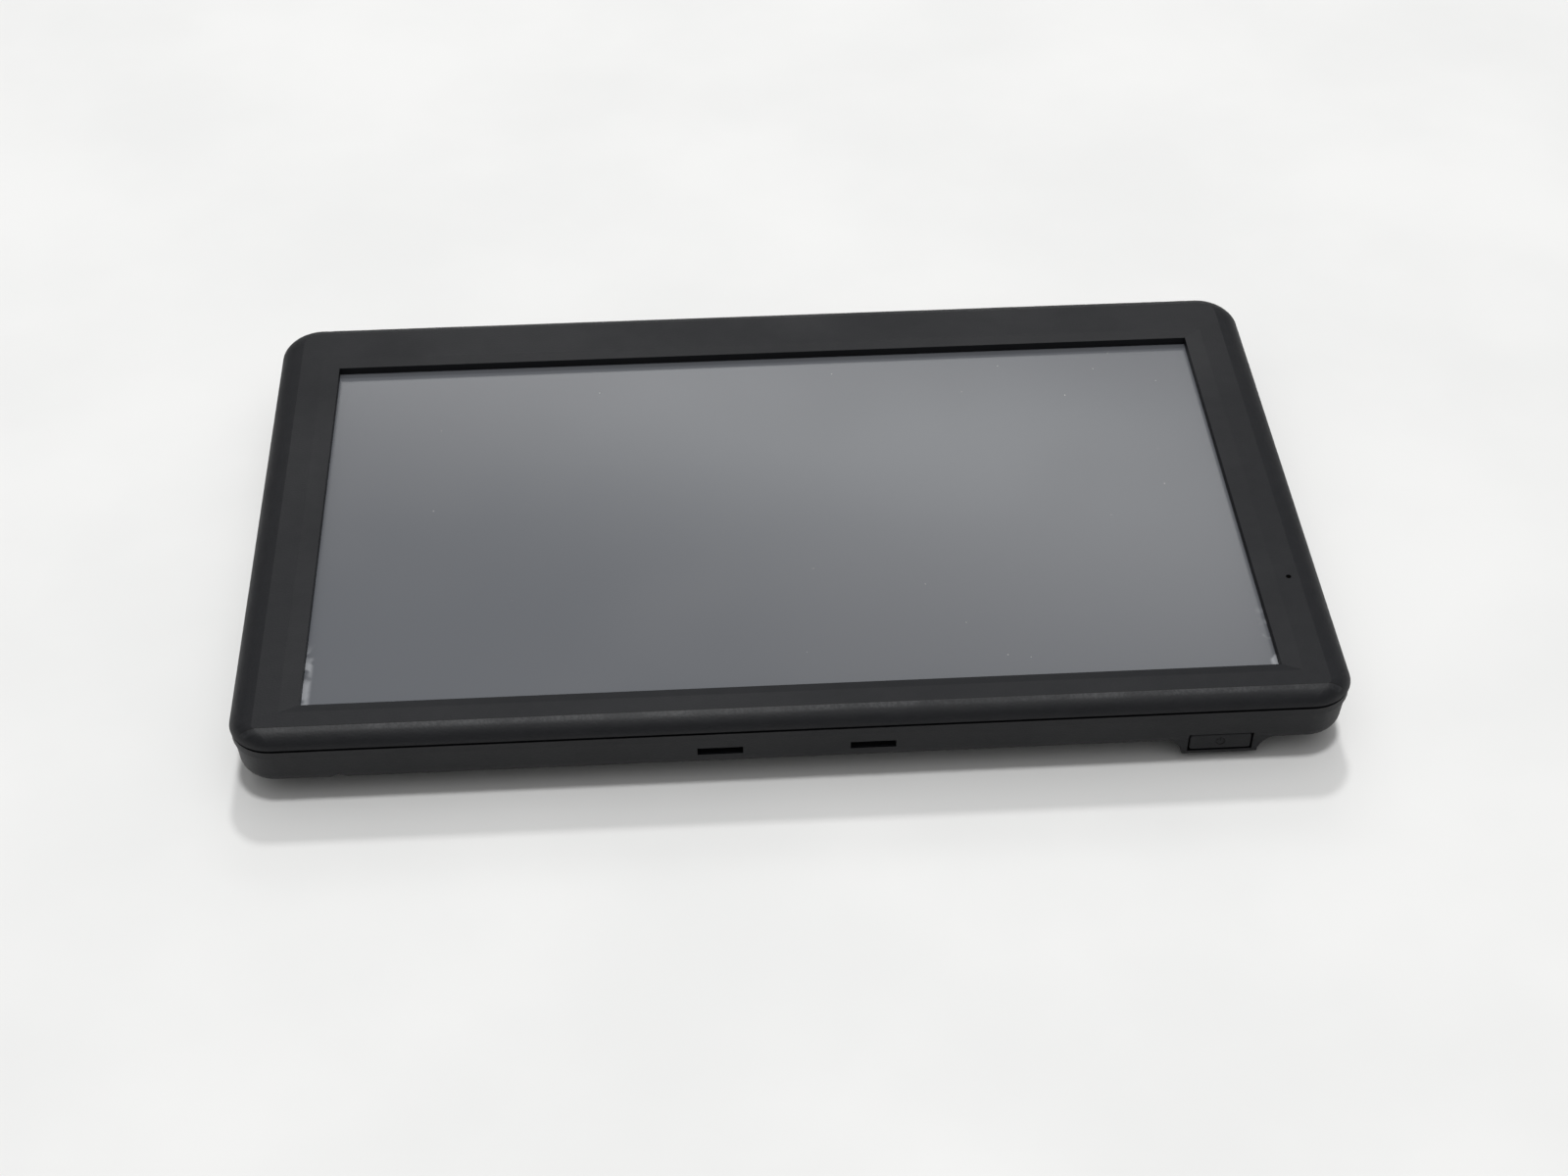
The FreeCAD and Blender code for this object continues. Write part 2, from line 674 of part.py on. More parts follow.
def housing_hollow():
    body = new_body("housing_hollow")
    inset = v.lip_overhang + v.wall
    radius = v.corner_radius - inset
    sketch = new_sketch(body, "hollow_wall", "XY", hollow_floor)
    rounded(sketch, *ring_limits(inset, inset, inset), radius)
    pad(body, "hollow_pad", sketch, v.overall_height - hollow_floor)
    shrink = low_inset + v.edge_round + 0.6
    top = new_sketch(body, "hollow_belly_high", "XY", hollow_floor)
    rounded(top, *ring_limits(shrink, shrink, shrink), v.corner_radius - shrink)
    rest = new_sketch(body, "hollow_belly_low", "XY", v.skin)
    side, edge = v.belly_side + v.skin / 2, v.belly_edge + v.skin / 2
    rounded(rest, *ring_limits(side, edge, edge), v.belly_radius - v.skin / 2)
    loft(body, "hollow_belly", [top, rest], ruled=True)
    return body


def clip_slots():
    slots = []
    reach = low_inset + v.wall + 1
    for side, y in (("near", -half_width), ("far", half_width - reach)):
        for number, sign in enumerate((-1, 1), start=1):
            x_range = around(v.slot_offset * sign, v.slot_length)
            z_range = around(v.slot_z, v.slot_height)
            slots.append(slab(f"clip_slot_{side}_{number}", x_range, (y, y + reach), z_range))
    return slots


def make_rear_housing():
    outside = housing_outside()
    button_bulge = bulge("button_bulge_body", "XZ", -near_face, v.button_x, v.button_bulge,
                         v.bulge_low, v.bulge_depth, True)
    port_bulge = bulge("port_bulge_body", "YZ", left_face, v.port_y, v.port_bulge,
                       v.port_low, v.bulge_depth + 4, False)
    solid = fuse("housing_solid", [outside, button_bulge, port_bulge])

    roof = hollow_floor + 0.5
    button_y = (near_face + v.bulge_wall, near_face + v.bulge_depth)
    button_hollow = slab("button_hollow", around(v.button_x, key_hollow), button_y,
                         (key_floor, roof))
    port_x = (port_inner, port_inner + v.bulge_depth + 2)
    port_hollow = slab("port_hollow", port_x, around(v.port_y, v.port_bulge - v.wall),
                       (v.skin, roof))
    hollow = fuse("hollow_all", [housing_hollow(), button_hollow, port_hollow])

    posts = []
    for number, (x, y) in enumerate(case_screws, start=1):
        posts.append(rod(f"case_post_{number}", x, y, 0, v.pocket_radius + v.pocket_wall,
                         pocket_boss_top))
    for number, (x, y) in enumerate(board_posts, start=1):
        posts.append(rod(f"board_post_{number}", x, y, 0, v.post_radius, board_z))
    hollow_left = cut("hollow_left", hollow, fuse("posts", posts))
    shell = cut("housing_shell", solid, hollow_left)

    holes = clip_slots()
    for number, (x, y) in enumerate(case_screws, start=1):
        holes.append(rod(f"screw_pocket_{number}", x, y, -1, v.pocket_radius, v.pocket_top + 1))
        holes.append(rod(f"screw_hole_{number}", x, y, 0, v.case_shank + v.screw_clearance,
                         pocket_boss_top + 1))
    for number, (x, y) in enumerate(board_posts, start=1):
        holes.append(rod(f"post_pilot_{number}", x, y, v.skin / 2, v.board_shank, board_z))
    window_x = around(v.button_x, v.button_length + v.button_gap * 2)
    window_z = around(v.button_z, v.button_height + v.button_gap * 2)
    window_y = (near_face - 1, near_face + v.bulge_wall + 1)
    holes.append(slab("button_window", window_x, window_y, window_z))

    wall_x = (left_face - 1, port_inner + 1)
    gap = v.window_gap
    usb_z = (board_top - gap, board_top + v.usb_height + gap)
    holes.append(slab("usb_window", wall_x, around(v.usb_y, v.usb_width + gap * 2), usb_z))
    card_z = (board_top + v.socket_metal / 2, board_top + v.card_height + gap / 2)
    holes.append(slab("card_window", wall_x, around(v.card_y, v.card_width - 1), card_z))
    holes.append(rod("jack_window", left_face - 1, v.jack_y, jack_z, v.jack_collar + 0.1,
                     v.wall + 2, "x"))
    for number in range(GRILLE_SLOTS):
        x = v.speaker_x + v.grille_pitch * (number - (GRILLE_SLOTS - 1) / 2)
        holes.append(slab(f"sound_slot_{number + 1}", around(x, v.grille_slot),
                          around(v.speaker_y, v.grille_length), (-1, v.skin + 0.5)))
    finish("rear_housing", cut("housing_cut", shell, fuse("housing_holes", holes)))


# ---------------------------------------------------------------------------------------------
# Power button, its switch and the small board that carries it
# ---------------------------------------------------------------------------------------------
flange_front = near_face + v.bulge_wall + 0.1
flange_back = flange_front + v.flange_thickness
flange_length = v.button_length + v.button_flange * 2
key_hollow = flange_length + 0.5
key_floor = v.button_z - v.button_height / 2 - v.button_gap
key_top = key_floor + v.key_board_thickness
plunger_front = flange_back + v.contact_gap
switch_front = plunger_front + v.plunger_reach


def make_power_button():
    body = new_body("button_body")
    sketch = new_sketch(body, "button_face", "XZ", -near_face)
    rectangle(sketch, around(v.button_x, v.button_length), around(v.button_z, v.button_height))
    pad(body, "button_stem", sketch, flange_back - near_face, True)
    rounded_edges(body, "button_corners",
                  lambda edge: edge.BoundBox.XLength + edge.BoundBox.ZLength < 0.01,
                  v.button_corner)
    rim = near_face.number
    rounded_edges(body, "button_rim",
                  lambda edge: abs(edge.BoundBox.YMin - rim) + abs(edge.BoundBox.YMax - rim) < 0.01,
                  v.button_edge)
    sketch = new_sketch(body, "flange_outline", "XZ", -flange_front)
    flange_z = (key_floor + 0.15, v.button_z + v.button_height / 2 + v.button_flange)
    rectangle(sketch, around(v.button_x, flange_length), flange_z)
    pad(body, "flange", sketch, v.flange_thickness, True)
    finish("power_button", body)


def make_power_switch():
    key_x = around(v.button_x, v.key_board_length)
    key_front = switch_front - v.key_lip
    key_y = (key_front, key_front + v.key_board_width)
    finish("key_board", slab("key_board_box", key_x, key_y, (key_floor, key_top)))
    body_y = (switch_front, switch_front + v.switch_width)
    case = slab("switch_case", around(v.button_x, v.switch_length), body_y,
                (key_top, key_top + v.switch_height))
    slack = 0.1
    guide_z = around(key_top + v.switch_height / 2, v.plunger_height + slack)
    guide_y = (switch_front - 1, switch_front + v.plunger_inside + v.travel + slack)
    guide = slab("switch_guide", around(v.button_x, v.plunger_length + slack), guide_y, guide_z)
    finish("switch_body", cut("switch_cut", case, guide))
    plunger_y = (plunger_front, switch_front + v.plunger_inside)
    plunger_z = around(key_top + v.switch_height / 2, v.plunger_height)
    plunger_x = around(v.button_x, v.plunger_length)
    finish("switch_plunger", slab("plunger_box", plunger_x, plunger_y, plunger_z))


# ---------------------------------------------------------------------------------------------
# Display stack
# ---------------------------------------------------------------------------------------------
def frame_piece(name, x_range, y_range, z_range, width_x, width_y):
    """A rectangular ring by its outer limits and the widths of its bars."""
    outer = slab(f"{name}_outer", x_range, y_range, z_range)
    x_inner = (x_range[0] + width_x, x_range[1] - width_x)
    y_inner = (y_range[0] + width_y[0], y_range[1] - width_y[1])
    inner = slab(f"{name}_inner", x_inner, y_inner, (z_range[0] - 1, z_range[1] + 1))
    return cut(name, outer, inner)


def make_display():
    half_x, half_y = v.display_length / 2, v.display_width / 2
    step = v.display_margin

    def inside(count):
        shift = step * count
        return (-half_x + shift, half_x - shift), (-half_y + shift, half_y - shift)

    reach = v.gasket_back + v.gasket_width
    gasket_x = (opening_x[0] - reach, opening_x[1] + reach)
    near_reach = (opening_y[0] - reach + 0.4, opening_y[1] + reach)
    width = v.gasket_width
    finish("bezel_gasket", frame_piece("gasket_ring", gasket_x, near_reach, (film_top, under_z),
                                       width, (width - 0.4, width)))
    x_range, y_range = inside(1)
    finish("touch_film", slab("film_sheet", x_range, y_range, (film_z, film_top)))
    finish("touch_glass", slab("glass_sheet", x_range, y_range, (glass_z, film_z)))
    border = v.gasket_width
    finish("display_adhesive", frame_piece("adhesive_ring", x_range, y_range,
                                           (adhesive_z, glass_z), border, (border, border * 4)))
    cell_y = (y_range[0], y_range[1] - v.picture_margin)
    finish("lcd_cell", slab("cell_sheet", x_range, cell_y, (cell_z, adhesive_z)))
    driver_x = (x_range[0] + 10, x_range[1] - 10)
    driver_y = (cell_y[1] + 0.3, y_range[1])
    finish("driver_board", slab("driver_strip", driver_x, driver_y, (cell_z, cell_z + 0.8)))
    finish("lcd_backlight", slab("light_guide", x_range, y_range, (light_z, cell_z)))
    tray_x, tray_y = inside(0)
    tray = slab("tray_outer", tray_x, tray_y, (tray_z, light_z + v.tray_wall_height))
    sheet_metal = v.tray_thickness
    room_x = (tray_x[0] + sheet_metal, tray_x[1] - sheet_metal)
    room_y = (tray_y[0] + sheet_metal, tray_y[1] - sheet_metal)
    room = slab("tray_room", room_x, room_y, (light_z, under_z))
    finish("lcd_tray", cut("tray_cut", tray, room))


def make_bracket():
    plate = slab("bracket_plate", around(0, v.display_length), around(0, v.bracket_width),
                 (bracket_z, tray_z))
    pieces = [plate]
    holes = []
    edge = v.display_length / 2
    for number, (x, y) in enumerate(ear_screws, start=1):
        sign = 1 if x.number > 0 else -1
        limits = [edge * sign - 0.5 * sign, x]
        limits.sort(key=lambda size: size.number)
        pieces.append(slab(f"ear_strip_{number}", limits, around(y, v.ear_radius * 2),
                           (bracket_z, tray_z)))
        pieces.append(rod(f"ear_end_{number}", x, y, bracket_z, v.ear_radius,
                          v.bracket_thickness))
        holes.append(rod(f"ear_hole_{number}", x, y, bracket_z - 1, v.small_shank + 0.1, 3))
    window_y = [(-v.bracket_width / 2 + 8, as_size(-6)), (as_size(6), v.bracket_width / 2 - 10)]
    for column in range(BRACKET_WINDOWS):
        centre = v.display_length * ((column - (BRACKET_WINDOWS - 1) / 2) * 0.31)
        for row, y_range in enumerate(window_y):
            holes.append(slab(f"bracket_window_{column}_{row}", around(centre, 40), y_range,
                              (bracket_z - 1, tray_z + 1)))
    lcd_exit = slab("flex_exit", around(v.flex_x, v.flex_width + 2), (flex_y - 1, flex_y + 1.4),
                    (bracket_z - 1, tray_z + 1))
    holes.append(lcd_exit)
    whole = fuse("bracket_whole", pieces)
    finish("display_bracket", cut("bracket_cut", whole, fuse("bracket_holes", holes)))


# ---------------------------------------------------------------------------------------------
# Screws: a round head with a cross recess on a plain shank
# ---------------------------------------------------------------------------------------------
def make_screw(node, x, y, head_face, upwards, head_radius, head_height, shank_radius, length):
    """The head sits on head_face; the shank runs up from it, or down."""
    tall = as_size(head_height)
    head_z = head_face - tall if upwards else head_face
    shank_z = head_face if upwards else head_face - length
    head = rod(f"{node}_head", x, y, head_z, head_radius, tall)
    shank = rod(f"{node}_shank", x, y, shank_z, shank_radius, length)
    screw = fuse(f"{node}_whole", [head, shank])
    recess_z = head_z - 0.5 if upwards else head_z + tall * 0.5
    recess = []
    for turn, (long_x, long_y) in enumerate(((1.1, 0.28), (0.28, 1.1))):
        recess.append(slab(f"{node}_slot_{turn}", around(x, head_radius * long_x),
                           around(y, head_radius * long_y), (recess_z, recess_z + tall * 0.5 + 0.5)))
    finish(node, cut(f"{node}_cut", screw, fuse(f"{node}_cross", recess)))


def make_screws():
    for number, (x, y) in enumerate(case_screws, start=1):
        make_screw(f"case_screw_{number}", x, y, v.pocket_top, True, v.case_head, v.head_height,
                   v.case_shank, v.shank_length)
    for number, (x, y) in enumerate(ear_screws, start=1):
        make_screw(f"bracket_screw_{number}", x, y, bracket_z, True, v.small_head,
                   v.small_head_height, v.small_shank, v.small_length)
    for number, (x, y) in enumerate(board_posts, start=1):
        make_screw(f"board_screw_{number}", x, y, board_top, False, v.small_head,
                   v.small_head_height, v.board_shank, board_top - v.skin / 2 - 0.2)


# ---------------------------------------------------------------------------------------------
# Main board and what is soldered to it
# ---------------------------------------------------------------------------------------------
port_left = port_inner + v.port_setback
flex_y = v.bracket_width / 2 - 3
flex_drop = bracket_z - 0.5
connector_top = board_top + v.connector_height


def make_board():
    main = slab("board_main", (v.board_left, v.board_right), (v.board_near, v.board_far),
                (board_z, board_top))
    ports = slab("board_ports", (port_left, v.board_left + 1), around(v.port_y, v.port_bulge - 6),
                 (board_z, board_top))
    holes = [rod(f"board_hole_{n}", x, y, board_z - 1, v.board_shank + 0.1, 3)
             for n, (x, y) in enumerate(board_posts, start=1)]
    jack_x = (port_inner - 1, port_inner + v.jack_depth + 0.2)
    holes.append(slab("jack_notch", jack_x, around(v.jack_y, v.jack_width + 0.4),
                      (board_z - 1, board_top + 1)))
    board = fuse("board_whole", [main, ports])
    finish("main_board", cut("board_cut", board, fuse("board_holes", holes)))


def open_box(name, x_range, y_range, z_range, metal, open_left):
    """A sheet-metal shell that is open at its left end or underneath."""
    outer = slab(f"{name}_outer", x_range, y_range, z_range)
    x_inner = (x_range[0] - 1 if open_left else x_range[0] + metal, x_range[1] - metal)
    y_inner = (y_range[0] + metal, y_range[1] - metal)
    z_inner = (z_range[0] + metal if open_left else z_range[0] - 1, z_range[1] - metal)
    return cut(name, outer, slab(f"{name}_inner", x_inner, y_inner, z_inner))


def make_sockets():
    metal = v.socket_metal
    usb_x = (left_face + 0.3, left_face + 0.3 + v.usb_depth + 2)
    usb_z = (board_top, board_top + v.usb_height)
    finish("usb_socket", open_box("usb_shell", usb_x, around(v.usb_y, v.usb_width), usb_z,
                                  metal, True))
    tongue_z_range = around(board_top + v.usb_height / 2, 0.6)
    finish("usb_contacts", slab("usb_tongue", (usb_x[0] + 1, usb_x[1] - metal),
                                around(v.usb_y, v.usb_width - 3), tongue_z_range))
    card_x = (port_left + 0.3, port_left + 0.3 + v.card_depth)
    card_z = (board_top, board_top + v.card_height)
    finish("card_socket", open_box("card_shell", card_x, around(v.card_y, v.card_width), card_z,
                                   v.shield_metal, True))
    jack_x = (port_inner, port_inner + v.jack_depth)
    body = slab("jack_case", jack_x, around(v.jack_y, v.jack_width),
                around(jack_z, v.jack_body))
    collar = rod("jack_collar_rod", left_face + 0.2, v.jack_y, jack_z, v.jack_collar,
                 v.wall + 1, "x")
    bore = rod("jack_bore_rod", left_face - 1, v.jack_y, jack_z, v.jack_bore,
               v.wall + v.jack_depth, "x")
    finish("headphone_jack", cut("jack_cut", fuse("jack_whole", [body, collar]), bore))


def make_chips():
    shield_x = around(v.shield_x, v.shield_length)
    shield_y = around(v.shield_y, v.shield_width)
    shield_z = (board_top, board_top + v.shield_height)
    finish("processor_shield", open_box("shield_can", shield_x, shield_y, shield_z,
                                        v.shield_metal, False))
    for node, x, y, length, width, height in CHIPS:
        finish(node, slab(f"{node}_box", around(v.shield_x + x, length),
                          around(v.shield_y + y, width), (board_top, board_top + height)))
    finish("power_coil", rod("coil_rod", v.shield_x + v.coil_x, v.shield_y + v.coil_y, board_top,
                             v.coil_radius, v.coil_height))


def ribbon(node, plane, offset, width, points):
    """A ribbon cable: its folded outline, padded across its width."""
    body = new_body(f"{node}_body")
    sketch = new_sketch(body, f"{node}_outline", plane, offset)
    outline(sketch, points)
    pad(body, f"{node}_pad", sketch, width)
    finish(node, body)


def make_ribbons():
    thick = v.ribbon
    connector_z = (board_top, connector_top)
    lcd_y = v.board_far - 5
    finish("lcd_connector", slab("lcd_plug", around(v.flex_x, v.flex_width + v.connector_cheeks),
                                 around(lcd_y, v.connector_depth), connector_z))
    lcd_points = [
        (flex_y, tray_z), (flex_y, flex_drop), (lcd_y, flex_drop), (lcd_y, connector_top),
        (lcd_y + thick, connector_top), (lcd_y + thick, flex_drop - thick),
        (flex_y + thick, flex_drop - thick), (flex_y + thick, tray_z),
    ]
    ribbon("lcd_ribbon", "YZ", v.flex_x - v.flex_width / 2, v.flex_width, lcd_points)
    glass_edge = -v.display_length / 2 + v.display_margin
    touch_x = glass_edge + v.touch_fold + 7
    finish("touch_connector", slab("touch_plug", around(touch_x, v.connector_depth),
                                   around(v.touch_y, v.touch_width + v.connector_cheeks),
                                   connector_z))
    fold_x = glass_edge - v.touch_fold
    touch_z = glass_z + 0.3
    touch_points = [
        (glass_edge, touch_z), (fold_x + thick, touch_z), (fold_x + thick, flex_drop),
        (touch_x, flex_drop), (touch_x, connector_top), (touch_x - thick, connector_top),
        (touch_x - thick, flex_drop - thick), (fold_x, flex_drop - thick),
        (fold_x, touch_z + thick), (glass_edge, touch_z + thick),
    ]
    ribbon("touch_ribbon", "XZ", -(v.touch_y + v.touch_width / 2), v.touch_width, touch_points)
    key_y = v.board_near + 1.5
    key_right = v.button_x - v.key_board_length / 2 + 1
    rise_x = v.board_right + 2
    key_points = [
        (key_right, key_top), (rise_x + thick, key_top), (rise_x + thick, board_top),
        (v.board_right - 6, board_top), (v.board_right - 6, board_top + thick),
        (rise_x + thick * 2, board_top + thick),
        (rise_x + thick * 2, key_top + thick), (key_right, key_top + thick),
    ]
    ribbon("key_ribbon", "XZ", -(key_y + v.key_width / 2), v.key_width, key_points)


# ---------------------------------------------------------------------------------------------
# Battery, speaker, microphone and antenna
# ---------------------------------------------------------------------------------------------
battery_z = v.skin + v.tape_thickness


def lead(node, points, radius):
    """An insulated lead along straight runs joined by tangent arcs."""
    places = [FreeCAD.Vector(*[as_size(value).number for value in point]) for point in points]
    edges = []
    start = places[0]
    for before, corner, after in zip(places, places[1:], places[2:]):
        to_start = (before - corner).normalize()
        to_end = (after - corner).normalize()
        reach = 0.45 * min((before - corner).Length, (after - corner).Length)
        half_turn = (math.pi - to_start.getAngle(to_end)) / 2
        bend = reach / math.tan(half_turn)
        bisector = (to_start + to_end).normalize()
        nearest = bend / math.cos(half_turn) - bend
        enter, leave = corner + to_start * reach, corner + to_end * reach
        edges.append(Part.LineSegment(start, enter).toShape())
        edges.append(Part.Arc(enter, corner + bisector * nearest, leave).toShape())
        start = leave
    edges.append(Part.LineSegment(start, places[-1]).toShape())
    path = Part.Wire(edges)
    section = Part.Circle(places[0], places[1] - places[0], radius.number).toShape()
    shape = path.makePipeShell([Part.Wire([section])], True, False)
    expected = math.pi * radius.number ** 2 * path.Length
    print(f"{node}: {path.Length:.1f} mm long, volume ratio {shape.Volume / expected:.4f}")
    thing = doc.addObject("Part::Feature", f"{node}_sweep")
    thing.Shape = shape
    thing.Placement = FreeCAD.Placement()
    finish(node, thing)


def make_battery():
    x_range = (v.battery_left, v.battery_left + v.battery_length)
    y_range = (v.battery_near, v.battery_near + v.battery_width)
    body = new_body("battery_body")
    sketch = new_sketch(body, "battery_outline", "XY", battery_z)
    rounded(sketch, x_range, y_range, as_size(2))
    pad(body, "battery_pad", sketch, v.battery_thickness)
    top = (battery_z + v.battery_thickness).number
    rounded_edges(body, "battery_round", lambda edge: edge.BoundBox.ZMin > top - 0.01,
                  as_size(0.8))
    finish("battery_cell", body)
    strips = (x_range[0] + 4, x_range[1] - 4 - v.tape_width)
    for number, left in enumerate(strips, start=1):
        finish(f"battery_tape_{number}", slab(f"tape_{number}", (left, left + v.tape_width),
                                              (y_range[0] + 3, y_range[1] - 3),
                                              (v.skin, battery_z)))
    plug_x = (v.board_right - 8, v.board_right - 3)
    plug_y = y_range[1] - 8
    finish("battery_connector", slab("battery_plug", plug_x, around(plug_y, 6),
                                     (board_top, board_top + 1.8)))
    for number, (node, side) in enumerate((("battery_lead_red", 1), ("battery_lead_black", -1))):
        y = plug_y + 1.1 * side
        z = board_top + 0.9
        finish(node, rod(f"{node}_rod", plug_x[1], y, z, v.lead_radius,
                         v.battery_left - plug_x[1], "x"))


def make_speaker():
    x_range = around(v.speaker_x, v.speaker_length)
    y_range = around(v.speaker_y, v.speaker_width)
    seal_top = v.skin + v.speaker_seal
    body = new_body("speaker_body")
    sketch = new_sketch(body, "speaker_outline", "XY", seal_top)
    rounded(sketch, x_range, y_range, as_size(3))
    pad(body, "speaker_pad", sketch, v.speaker_height)
    finish("speaker", body)
    seal = frame_piece("seal_ring", x_range, y_range, (v.skin, seal_top), v.seal_width,
                       (v.seal_width, v.seal_width))
    finish("speaker_seal", seal)
    inner_x = (x_range[0] + v.seal_width, x_range[1] - v.seal_width)
    inner_y = (y_range[0] + v.seal_width, y_range[1] - v.seal_width)
    finish("speaker_mesh", slab("mesh_sheet", inner_x, inner_y,
                                (v.skin, v.skin + v.mesh_thickness)))
    edge = x_range[0]
    plug_x = v.board_right - 6
    finish("speaker_connector", slab("speaker_plug", around(plug_x, 4),
                                     around(v.board_far - 14, 5), (board_top, board_top + 1.6)))
    for number, side in enumerate((1, -1), start=1):
        end_y = v.board_far - 14 + 1.2 * side
        start_y = v.speaker_y - 2 + 1.2 * side
        points = [
            (edge, start_y, seal_top + 1.6), (edge - 8, start_y, seal_top + 1.6),
            (plug_x + 10, end_y, board_top + 0.8), (plug_x + 2, end_y, board_top + 0.8),
        ]
        lead(f"speaker_lead_{number}", points, v.lead_radius * 0.8)


def make_microphone():
    boot_radius = v.mic_radius + v.mic_boot_wall
    top = under_z - v.mic_boot_wall
    shell = rod("boot_rod", v.mic_x, v.mic_y, top - v.mic_height, boot_radius,
                v.mic_height + v.mic_boot_wall)
    seat = rod("boot_seat", v.mic_x, v.mic_y, top - v.mic_height - 1, v.mic_radius,
               v.mic_height + 1)
    port = rod("boot_port", v.mic_x, v.mic_y, top - 1, v.mic_hole_radius, 3)
    finish("microphone_boot", cut("boot_cut", shell, fuse("boot_holes", [seat, port])))
    finish("microphone", rod("mic_rod", v.mic_x, v.mic_y, top - v.mic_height, v.mic_radius,
                             v.mic_height))


def make_antenna():
    inner = half_width - v.lip_overhang - v.wall
    patch_z = (hollow_floor + 0.5, tongue_z - 0.2)
    left = as_size(-58)
    finish("antenna_patch", slab("antenna_sheet", (left, left + 30), (inner - 0.2, inner), patch_z))
    start_z = hollow_floor + 1.4
    x = left + 14
    points = [
        (x, inner - 0.2, start_z), (x, inner - 3.2, start_z), (x + 1, inner - 6.5, start_z - 2.0),
        (x + 1, v.board_far - 1.5, board_top + 0.8),
    ]
    plug = around(v.board_far - 2.5, 2.4)
    finish("antenna_connector", slab("antenna_plug", around(x + 1, 2.4), plug,
                                     (board_top, board_top + 1.3)))
    points[-1] = (x + 1, plug[1], board_top + 0.8)
    lead("antenna_lead", points, v.lead_radius)


# ---------------------------------------------------------------------------------------------
# Build, check and write
# ---------------------------------------------------------------------------------------------
make_front_bezel()
make_rear_housing()
make_power_button()
make_power_switch()
make_display()
make_bracket()
make_screws()
make_board()
make_sockets()
make_chips()
make_ribbons()
make_battery()
make_speaker()
make_microphone()
make_antenna()
doc.recompute()

for item in doc.Objects:
    if "Invalid" in item.State or "Error" in item.State:
        raise RuntimeError(f"{item.Label} did not compute: {item.State}")
for node, thing in parts.items():
    shape = thing.Shape
    if shape.isNull() or not shape.isValid() or not shape.Solids:
        raise RuntimeError(f"{node} has no valid solid")

os.makedirs("parts", exist_ok=True)
for node, thing in parts.items():
    thing.Shape.exportStep(f"parts/{node}.step")
print(f"{len(parts)} sub-parts written")
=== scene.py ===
# %% [markdown]
# # A reading tablet with rolled edges
#
# The real object is a flat case of black moulded plastic round a seven-inch screen. Almost all
# that is seen is one dark plastic and one grey matte film, so the looks come from three things:
# the way the rolled edge catches the light, the thin black lines between the pieces, and the
# slight dirt and haze on the film. The solids come from the frame, and this file gives them
# their finishes, adds the small things that were not worth a solid, and lights them.

# %% Load the frame
import bmesh
import bpy
import json
import math
from mathutils import Matrix, Vector


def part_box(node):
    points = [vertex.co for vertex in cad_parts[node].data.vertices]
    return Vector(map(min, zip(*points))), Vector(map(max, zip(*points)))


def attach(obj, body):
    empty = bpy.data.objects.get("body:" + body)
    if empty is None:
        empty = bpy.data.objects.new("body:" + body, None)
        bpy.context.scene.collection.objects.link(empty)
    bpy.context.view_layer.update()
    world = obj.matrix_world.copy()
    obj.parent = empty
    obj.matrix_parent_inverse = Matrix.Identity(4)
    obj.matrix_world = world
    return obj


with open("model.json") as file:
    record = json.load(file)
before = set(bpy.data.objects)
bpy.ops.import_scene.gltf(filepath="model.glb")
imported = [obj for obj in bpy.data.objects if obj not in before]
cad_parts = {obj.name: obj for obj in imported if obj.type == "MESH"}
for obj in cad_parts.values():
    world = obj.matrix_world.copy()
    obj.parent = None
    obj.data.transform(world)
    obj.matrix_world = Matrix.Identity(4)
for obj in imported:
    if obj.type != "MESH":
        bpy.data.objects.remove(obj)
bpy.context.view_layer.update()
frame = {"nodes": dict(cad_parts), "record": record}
MM = 0.001

# %% [markdown]
# ## Camera
#
# The viewer stands in front of the button edge and looks down on the screen. A camera can be
# placed by hand or by two facts: where it is, and the three directions of its own axes. The
# second way keeps the small tilt of a camera held by hand, so it is the one used here. The lens
# is a little longer than normal, which keeps the far edge nearly as long as the near one. The
# plain view transform is set, because it shows each grey as it was worked out.

# %% Camera
LENS_MM = 57.445
CAMERA_PLACE = Vector((-17.61, -327.73, 288.74)) * MM
AXIS_RIGHT = Vector((0.998299, -0.058274, -0.001639))
AXIS_UP = Vector((0.040282, 0.669203, 0.741987))

camera_data = bpy.data.cameras.new("camera")
camera_data.lens = LENS_MM
camera_data.sensor_width = 36.0
camera_data.clip_start = 10 * MM
camera = bpy.data.objects.new("camera", camera_data)
bpy.context.collection.objects.link(camera)
axis_back = AXIS_RIGHT.cross(AXIS_UP)
turn = Matrix((AXIS_RIGHT, AXIS_UP, axis_back)).transposed()
camera.matrix_world = Matrix.Translation(CAMERA_PLACE) @ turn.to_4x4()
bpy.context.scene.camera = camera
bpy.context.scene.view_settings.view_transform = "Standard"
print("camera is", round(CAMERA_PLACE.length * 1000), "mm from the middle of the back")

# %% [markdown]
# ## Materials from nodes
#
# Every finish here is the same shader with its own numbers, plus a pattern that is worked out
# from the place on the object. Object coordinates are used for the pattern, because the pieces
# all sit at the origin and the pattern then stays where it is put. A small set of helpers keeps
# each finish short: one makes the shader, one adds a noise, one turns a noise into fine relief.

# %% Helpers for materials
def new_finish(name, colour, roughness, **sockets):
    """A material with one shader whose sockets are set by name."""
    material = bpy.data.materials.new(name)
    material.use_nodes = True
    shader = material.node_tree.nodes["Principled BSDF"]
    shader.inputs["Base Color"].default_value = (*colour, 1.0)
    shader.inputs["Roughness"].default_value = roughness
    for socket, value in sockets.items():
        shader.inputs[socket.replace("_", " ")].default_value = value
    return material


def add_node(material, kind, **values):
    node = material.node_tree.nodes.new(kind)
    for key, value in values.items():
        setattr(node, key, value)
    return node


